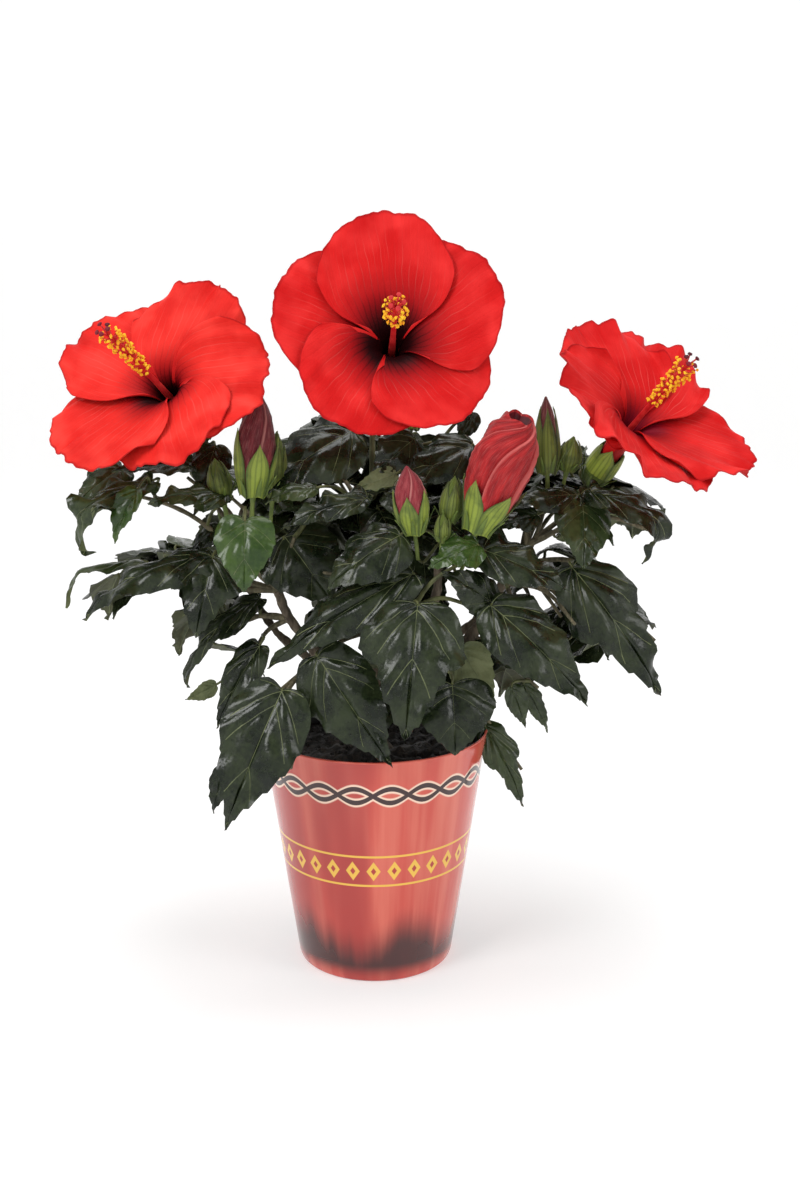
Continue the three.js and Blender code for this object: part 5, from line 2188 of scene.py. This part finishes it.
@dataclass
class Room:
    """Where leaves may be: clear of the pot, the blooms, each other, the open gaps and the listed leaves."""

    blooms: tuple[Bloom, ...]
    buds: tuple[Bud, ...]
    eye: Array
    gaps: tuple[tuple[float, float, float, float], ...] = ()
    spacing: float = 17.0
    margin: float = 9.0
    bloom_reach: float = 88.0
    bloom_front: float = 115.0
    taken: list[tuple[Array, float]] = field(default_factory=list)
    shown: list[tuple[Array, Array, float]] = field(default_factory=list)
    joined: list[Array] = field(default_factory=list)

    def __post_init__(self) -> None:
        """Finds the pot, the blooms' stands and the buds."""
        self.pot_low, self.pot_high = node_box("pot")
        self.stands = [bloom.stand for bloom in self.blooms]
        self.spines = [(spine(bud.node), bud.radius) for bud in self.buds]

    def claimed(self, foot: Array) -> bool:
        """Checks whether a bud's foot is joined up already; it counts as joined from now on.

        Args:
            foot: The bud's foot.

        Returns:
            Whether it was.
        """
        if any(np.linalg.norm(foot - other) < 0.1 for other in self.joined):
            return True
        self.joined.append(foot)
        return False

    def seen(self, points: Array) -> Array:
        """Shows points in the main view.

        Args:
            points: The points.

        Returns:
            How far across and up each shows, on the upright plane through the origin.
        """
        away = points - self.eye
        share = -self.eye[1] / away[:, 1]
        return (self.eye + away * share[:, None])[:, [0, 2]]

    def samples(self, leaf: Leaf) -> Array:
        """Spreads points over a leaf.

        Args:
            leaf: The leaf.

        Returns:
            The points, its midrib's first.
        """
        along = unit(leaf.tip - leaf.base)
        side = np.cross(along, across(leaf.facing, along)) * leaf.half_width
        steps = np.linspace(0.0, 1.0, 9)[:, None]
        middle = leaf.base + (leaf.tip - leaf.base) * steps
        reach = 0.9 * np.sqrt(np.sin(pi * steps ** 0.75))
        return np.vstack([middle] + [middle + side * reach * share for share in (-1.0, -0.5, 0.5, 1.0)])

    def allows(self, leaf: Leaf, low: Array, high: Array) -> bool:
        """Checks whether a leaf may grow where it is.

        Args:
            leaf: The leaf.
            low: The lowest corner of its mass.
            high: The highest corner.

        Returns:
            Whether it may.
        """
        points = self.samples(leaf)
        if np.any(points < low - self.margin) or np.any(points > high + self.margin):
            return False
        radius = np.hypot(points[:, 0], points[:, 1])
        rim = self.pot_high[0] + 3
        if np.any((radius < rim) & (points[:, 2] < self.pot_high[2] + 4)):
            return False
        for stand in self.stands:
            height = (points - stand.origin) @ stand.axis
            out = np.linalg.norm(points - stand.origin - stand.axis * height[:, None], axis=1)
            if np.any((out < self.bloom_reach) & (height > 0.33 * out - 16) & (height < self.bloom_front)):
                return False
        for (foot, tip), thick in self.spines:
            share = np.clip(((points - foot) @ (tip - foot)) / np.sum((tip - foot) ** 2), 0, 1)
            if np.any(np.linalg.norm(points - foot - (tip - foot) * share[:, None], axis=1) < thick + 3):
                return False
        middle = blend(leaf.base, leaf.tip, 0.5)
        if any(np.linalg.norm(middle - other) < self.spacing + 0.1 * size for other, size in self.taken):
            return False
        return not (self.in_gap(points) or self.hides(points))

    def in_gap(self, points: Array) -> bool:
        """Checks whether a leaf shows in an open gap.

        Args:
            points: Points of the leaf.

        Returns:
            Whether it does.
        """
        seen = self.seen(points)
        return any(np.any(((seen[:, 0] - x) / wide) ** 2 + ((seen[:, 1] - z) / tall) ** 2 < 1)
                   for x, z, wide, tall in self.gaps)

    def hides(self, points: Array) -> bool:
        """Checks whether a leaf lies before a listed one, in the main view.

        Args:
            points: Points of the leaf.

        Returns:
            Whether it does.
        """
        seen = self.seen(points)
        depth = points[:, 1]
        for foot, tip, thick in self.shown:
            ends = self.seen(np.array([foot, tip]))
            line = ends[1] - ends[0]
            share = np.clip(((seen - ends[0]) @ line) / np.maximum(line @ line, 1e-6), 0, 1)
            off = np.linalg.norm(seen - ends[0] - line * share[:, None], axis=1)
            front = foot[1] + (tip[1] - foot[1]) * share
            if np.any((off < thick) & (depth < front + 3)):
                return True
        return False

    def take(self, leaf: Leaf, by_hand: bool) -> None:
        """Marks a leaf's room as taken.

        Args:
            leaf: The leaf.
            by_hand: Whether it is one of the listed leaves, so that nothing may hide it.
        """
        self.taken.append((blend(leaf.base, leaf.tip, 0.5), leaf.half_width))
        if by_hand:
            self.shown.append((leaf.base, leaf.tip, leaf.half_width * 0.75))


@dataclass
class Foliage:
    """All the sprays, one for each mass of the frame."""

    flowers: Flowers
    eye: Vec
    sprays: tuple[Spray, ...] = field(default_factory=tuple)
    gaps: tuple[tuple[float, float, float, float], ...] = (
        (-157, 259, 14, 9), (-125, 277, 12, 5), (-113, 295, 9, 4), (-147, 296, 4, 3), (-89, 281, 7, 5),
        (-80, 295, 3, 3), (-131, 218, 7, 16), (-78, 233, 5, 9), (-70, 237, 4, 4), (-63, 220, 3, 8),
        (-77, 206, 11, 5), (-48, 226, 6, 5), (-26, 295, 13, 5), (11, 302, 5, 7), (35, 330, 7, 3),
        (86, 271, 7, 7), (101, 271, 7, 9), (105, 229, 7, 6), (67, 212, 4, 10), (60, 222, 4, 5),
        (-150, 190, 25, 25), (140, 165, 12, 26), (161, 254, 15, 9), (-44, 336, 5, 5),
        (200, 262, 24, 20), (-190, 285, 14, 16), (0, 70, 70, 62),
    )

    def materials(self) -> list[Material]:
        """Makes the leaves' materials.

        Returns:
            The materials, in the order that Tint and VEIN_FINISH count them.
        """
        return made(
            LeafFinish("leaf_dark", (0.005, 0.009, 0.004), (0.024, 0.034, 0.013), (0.18, 0.3), coat=0.16),
            LeafFinish("leaf_under", (0.05, 0.058, 0.03), (0.1, 0.112, 0.06), (0.5, 0.68)),
            PlainFinish("leaf_vein", (0.07, 0.085, 0.035), (0.15, 0.17, 0.075), 0.5),
            LeafFinish("leaf_mid", (0.016, 0.027, 0.008), (0.044, 0.062, 0.02), (0.2, 0.34), coat=0.25),
            LeafFinish("leaf_mid_under", (0.09, 0.108, 0.045), (0.17, 0.19, 0.09), (0.5, 0.68)),
            LeafFinish("leaf_young", (0.018, 0.042, 0.008), (0.05, 0.09, 0.018), (0.2, 0.32), coat=0.25))

    def build(self, wood: Wood, feet: list[Array]) -> None:
        """Grows every spray.

        Args:
            wood: The limbs.
            feet: The feet of the bud stalks.
        """
        leaf = self.materials()
        twig = made(
            BarkFinish("twig_bark", (0.07, 0.062, 0.032), (0.19, 0.165, 0.095), 0.7),
            PlainFinish("leaf_stalk", (0.055, 0.06, 0.022), (0.13, 0.14, 0.05), 0.5))
        room = Room(self.flowers.blooms, self.flowers.buds, np.array(self.eye), self.gaps)
        stalks = [wood.lines[name][0] for name in wood.stalks]
        for spray in self.sprays:
            for plan in spray.plans:
                base, tip = place_in(spray.node, plan.base), place_in(spray.node, plan.tip)
                room.shown.append((base, tip, plan.half_width * 0.75))
        for spray in self.sprays:
            spray.build(wood, room, feet + stalks, leaf, twig)


def hand_set_sprays() -> tuple[Spray, ...]:
    """Lists the sprays of the front and the sides, whose set leaves give the plant its outline.

    Returns:
        The sprays.
    """
    ovate, lobed, heart = LeafForm
    plan, pose = LeafPlan, LeafPose
    return (
        Spray("foliage_left_upper", "bough_left", 4, 4, 13, (
            plan((0.29, 0.42, 0.82), (0.09, 0.27, 0.34), 14, (-0.3, -0.75, 0.6), pose(30, 8, 35), heart, Tint.MID),
            plan((0.66, 0.4, 0.86), (0.26, 0.3, 0.8), 11, (0.0, -0.45, 0.9), pose(20, 20, 30)),
            plan((0.46, 0.27, 0.68), (0.15, 0.1, -0.36), 12, (0.0, -0.45, 0.9),
                 pose(20, 15, 50, 0, 0, 0.05, 85), ovate, Tint.MID),
            plan((0.42, 0.02, 0.64), (0.31, -0.04, -0.12), 9, (-0.5, -0.8, 0.3), pose(35, 25, 30), ovate, Tint.YOUNG),
            plan((0.83, 0.24, 0.5), (0.46, 0.08, 0.4), 13, (0.0, -0.45, 0.9),
                 pose(35, 10, 70, 15, 0, 0.045), lobed, Tint.MID),
            plan((0.76, 0.42, 1.15), (0.7, 0.32, 0.38), 13, (-0.3, -0.9, 0.2), pose(25, 10, 30)),
        )),
        Spray("foliage_left_lower", "bough_left", 4, 2, 14, (
            plan((0.46, 0.46, 0.93), (0.07, 0.34, 0.4), 10, (0.1, 0.1, 1.0),
                 pose(10, 5, 40, 0, 0, 0.02, 60), ovate, Tint.MID),
            plan((0.85, 0.33, 1.05), (0.21, 0.08, 0.36), 18, (-0.1, -0.45, 0.9), pose(65, 8, 75, -10, 8, 0.04)),
            plan((0.86, 0.26, 1.05), (0.78, 0.06, 0.16), 20, (0.0, -0.95, 0.25), pose(35, 5, 35), lobed),
            plan((0.87, 0.56, 1.3), (0.72, 0.56, 1.02), 8, (-0.2, -0.7, 0.7), pose(25, 5, 30)),
        )),
        Spray("foliage_left_hanging", "bough_left", 3, 2, 15, (
            plan((0.93, 0.43, 0.97), (0.14, 0.26, 0.2), 13, (-0.4, -0.5, 0.8), pose(70, 8, 50), lobed),
            plan((0.95, 0.19, 0.61), (0.5, 0.03, -0.1), 12, (-0.5, -0.85, 0.15), pose(30, 12, 30)),
            plan((0.39, 0.69, 0.1), (0.04, 0.69, -0.04), 6, (0.2, 0.7, -0.5), pose(20, 10, 20), ovate, Tint.MID),
        )),
        Spray("foliage_left_centre", "bough_left", 4, 6, 12, (
            plan((0.33, -0.03, 0.93), (0.33, -0.22, 0.38), 17, (0.05, -0.9, 0.45),
                 pose(30, 6, 22), heart, Tint.YOUNG),
            plan((0.53, 0.69, 0.66), (0.88, 0.48, 0.07), 25, (0.15, -0.9, 0.35), pose(30, 5, 25)),
            plan((1.1, 0.38, 1.05), (0.54, 0.27, 0.8), 10, (0.1, -0.5, 0.85), pose(35, 15, 50, 25, 0, 0.05)),
            plan((0.76, 0.43, 1.13), (0.43, 0.35, 1.0), 9, (-0.1, -0.35, 0.9),
                 pose(45, 12, 50, 20, 0, 0.04), ovate, Tint.MID),
        )),
        Spray("foliage_centre", "bough_rear", 5, 9, 11, (
            plan((0.4, 0.49, 1.05), (0.05, 0.24, 0.6), 24, (-0.15, -0.75, 0.6), pose(40, 5, 45)),
            plan((0.66, 0.43, 1.0), (0.48, 0.38, 0.7), 15, (0.0, -0.85, 0.5), pose(25, 8, 30)),
            plan((0.9, 0.26, 0.97), (0.6, 0.07, 0.66), 17, (0.0, -0.7, 0.7), pose(30, 5, 30)),
            plan((0.9, 0.4, 1.2), (0.84, 0.4, 0.97), 7, (0.3, -0.9, 0.2), pose(30, 10, 30)),
            plan((0.6, -0.12, 0.34), (0.3, -0.28, -0.06), 20, (0.0, -0.65, 0.75), pose(55, 4, 45, 0, 12, 0.03)),
            plan((0.58, 0.3, 0.74), (0.4, 0.24, 0.64), 8, (0.2, 0.6, -0.6), pose(20, 5, 30), ovate, Tint.YOUNG),
            plan((1.03, 0.26, 0.14), (0.72, 0.06, 0.38), 15, (0.1, -0.8, 0.5), pose(30, 6, 30)),
            plan((0.86, 0.21, 0.06), (0.97, 0.12, 0.5), 10, (0.0, -0.9, 0.3), pose(25, 8, 30)),
        )),
        Spray("foliage_front", "bough_centre", 4, 7, 17, (
            plan((0.73, 0.76, 0.88), (0.03, 0.5, 0.4), 17, (0.15, -0.65, 0.8), pose(30, 5, 40)),
            plan((0.27, 0.49, 0.47), (0.63, 0.1, -0.07), 22, (-0.1, -0.9, 0.4), pose(30, 6, 30)),
            plan((0.75, 0.41, 0.75), (0.69, -0.14, 0.11), 31, (0.0, -0.88, 0.45), pose(38, 5, 35, 0, 0, 0.03), lobed),
            plan((0.92, 0.61, 0.3), (0.93, 0.3, -0.04), 25, (0.15, -0.85, 0.5), pose(25, 5, 20, 0, 0, 0.008), heart),
            plan((0.79, 0.5, 0.25), (0.7, 0.4, 0.1), 7, (0.0, -0.8, 0.6), pose(25, 5, 20)),
            plan((1.04, 0.76, 1.03), (0.8, 0.45, 0.93), 14, (0.0, -0.65, 0.8),
                 pose(30, 5, 30, 0, 0, 0.05), lobed, Tint.YOUNG),
            plan((1.13, 0.88, 0.7), (0.86, 0.65, 0.9), 13, (0.1, -0.8, 0.5), pose(30, 6, 30)),
        )),
        Spray("foliage_front_left", "bough_left", 3, 3, 16, (
            plan((0.68, 0.72, 0.84), (0.22, 0.06, 0.12), 24, (-0.1, -0.92, 0.4), pose(30, 10, 28)),
            plan((0.19, 0.67, 0.4), (0.09, 0.56, 0.15), 7, (-0.4, -0.85, 0.2), pose(20, 10, 20)),
        )),
        Spray("foliage_right_upper", "bough_right", 5, 5, 18, (
            plan((0.48, 0.36, 0.84), (0.72, 0.13, 0.14), 14, (0.3, -0.55, 0.8), pose(15, 10, 45, 0, 0, 0.04, 100)),
            plan((0.44, 0.27, 0.72), (0.43, 0.05, 0.12), 18, (0.25, -0.9, 0.3),
                 pose(30, 8, 30, 0, 0, 0.01), heart, Tint.MID),
            plan((0.42, 0.31, 0.8), (0.07, 0.2, 0.74), 13, (0.0, -0.55, 0.85), pose(20, 4, 50, 0, 0, 0.035)),
            plan((0.22, 0.22, 0.62), (0.02, 0.16, 0.5), 9, (-0.1, -0.75, 0.6), pose(20, 5, 30), lobed),
        )),
        Spray("foliage_right_lower", "bough_right", 3, 2, 19, (
            plan((0.24, 0.39, 0.88), (0.85, 0.22, 0.08), 25, (0.15, -0.88, 0.45), pose(40, 6, 35, 0, 0, 0.03), lobed),
        )),
        Spray("foliage_right_front", "bough_right", 3, 3, 20, (
            plan((0.19, 0.43, 0.54), (0.85, 0.22, -0.06), 21, (0.2, -0.85, 0.5), pose(40, 6, 35, 0, 0, 0.025)),
            plan((0.14, 0.61, 0.86), (0.72, 0.43, 0.62), 15, (0.0, -0.7, 0.7), pose(25, 6, 35, 0, 0, 0.03)),
        )),
        Spray("foliage_right_hanging", "bough_right", 3, 2, 21, (
            plan((0.5, 0.45, 0.44), (0.64, 0.5, 0.08), 7, (0.2, -0.6, 0.1), pose(20, 15, 30), ovate, Tint.MID),
            plan((0.62, 0.56, 0.44), (0.86, 0.56, 0.02), 7, (0.5, -0.7, 0.1), pose(20, 15, 30), ovate, Tint.MID),
        )),
        Spray("foliage_right_rim", "bough_right", 2, 0, 22, (
            plan((-0.05, 0.4, 1.0), (0.7, 0.13, 0.08), 12, (0.35, -0.85, 0.35), pose(35, 12, 25), lobed, Tint.MID),
        )),
        Spray("foliage_above_pot", "bough_centre", 3, 4, 23, (
            plan((0.7, 0.29, 1.5), (1.05, 0.29, 0.5), 14, (-0.2, 0.85, -0.3), pose(20, 5, 20), ovate, Tint.MID),
        )),
    )


def rear_sprays() -> tuple[Spray, ...]:
    """Lists the sprays of the back, which the growing rule fills alone.

    Returns:
        The sprays.
    """
    return (
        Spray("foliage_rear", "bough_rear", 7, 24, 24),
        Spray("foliage_rear_left", "bough_left_rear", 6, 20, 25),
        Spray("foliage_rear_right", "bough_right_rear", 6, 18, 26),
        Spray("foliage_rear_low", "bough_rear", 5, 15, 27, droop=0.8),
        Spray("foliage_right_rear_low", "bough_right_rear", 5, 16, 28, droop=0.8),
        Spray("foliage_left_rear_low", "bough_left_rear", 5, 15, 29, droop=0.8),
    )


# ---- making


def main() -> None:
    """Builds the studio, the pot and the plant."""
    logging.basicConfig(level=logging.INFO, format="%(message)s")
    studio = Studio()
    studio.build()
    Pot().build()
    Compost().build()
    wood = Wood()
    wood.build()
    flowers = Flowers()
    feet = flowers.build()
    Foliage(flowers, studio.eye, hand_set_sprays() + rear_sprays()).build(wood, feet)


if __name__ == "__main__":
    main()
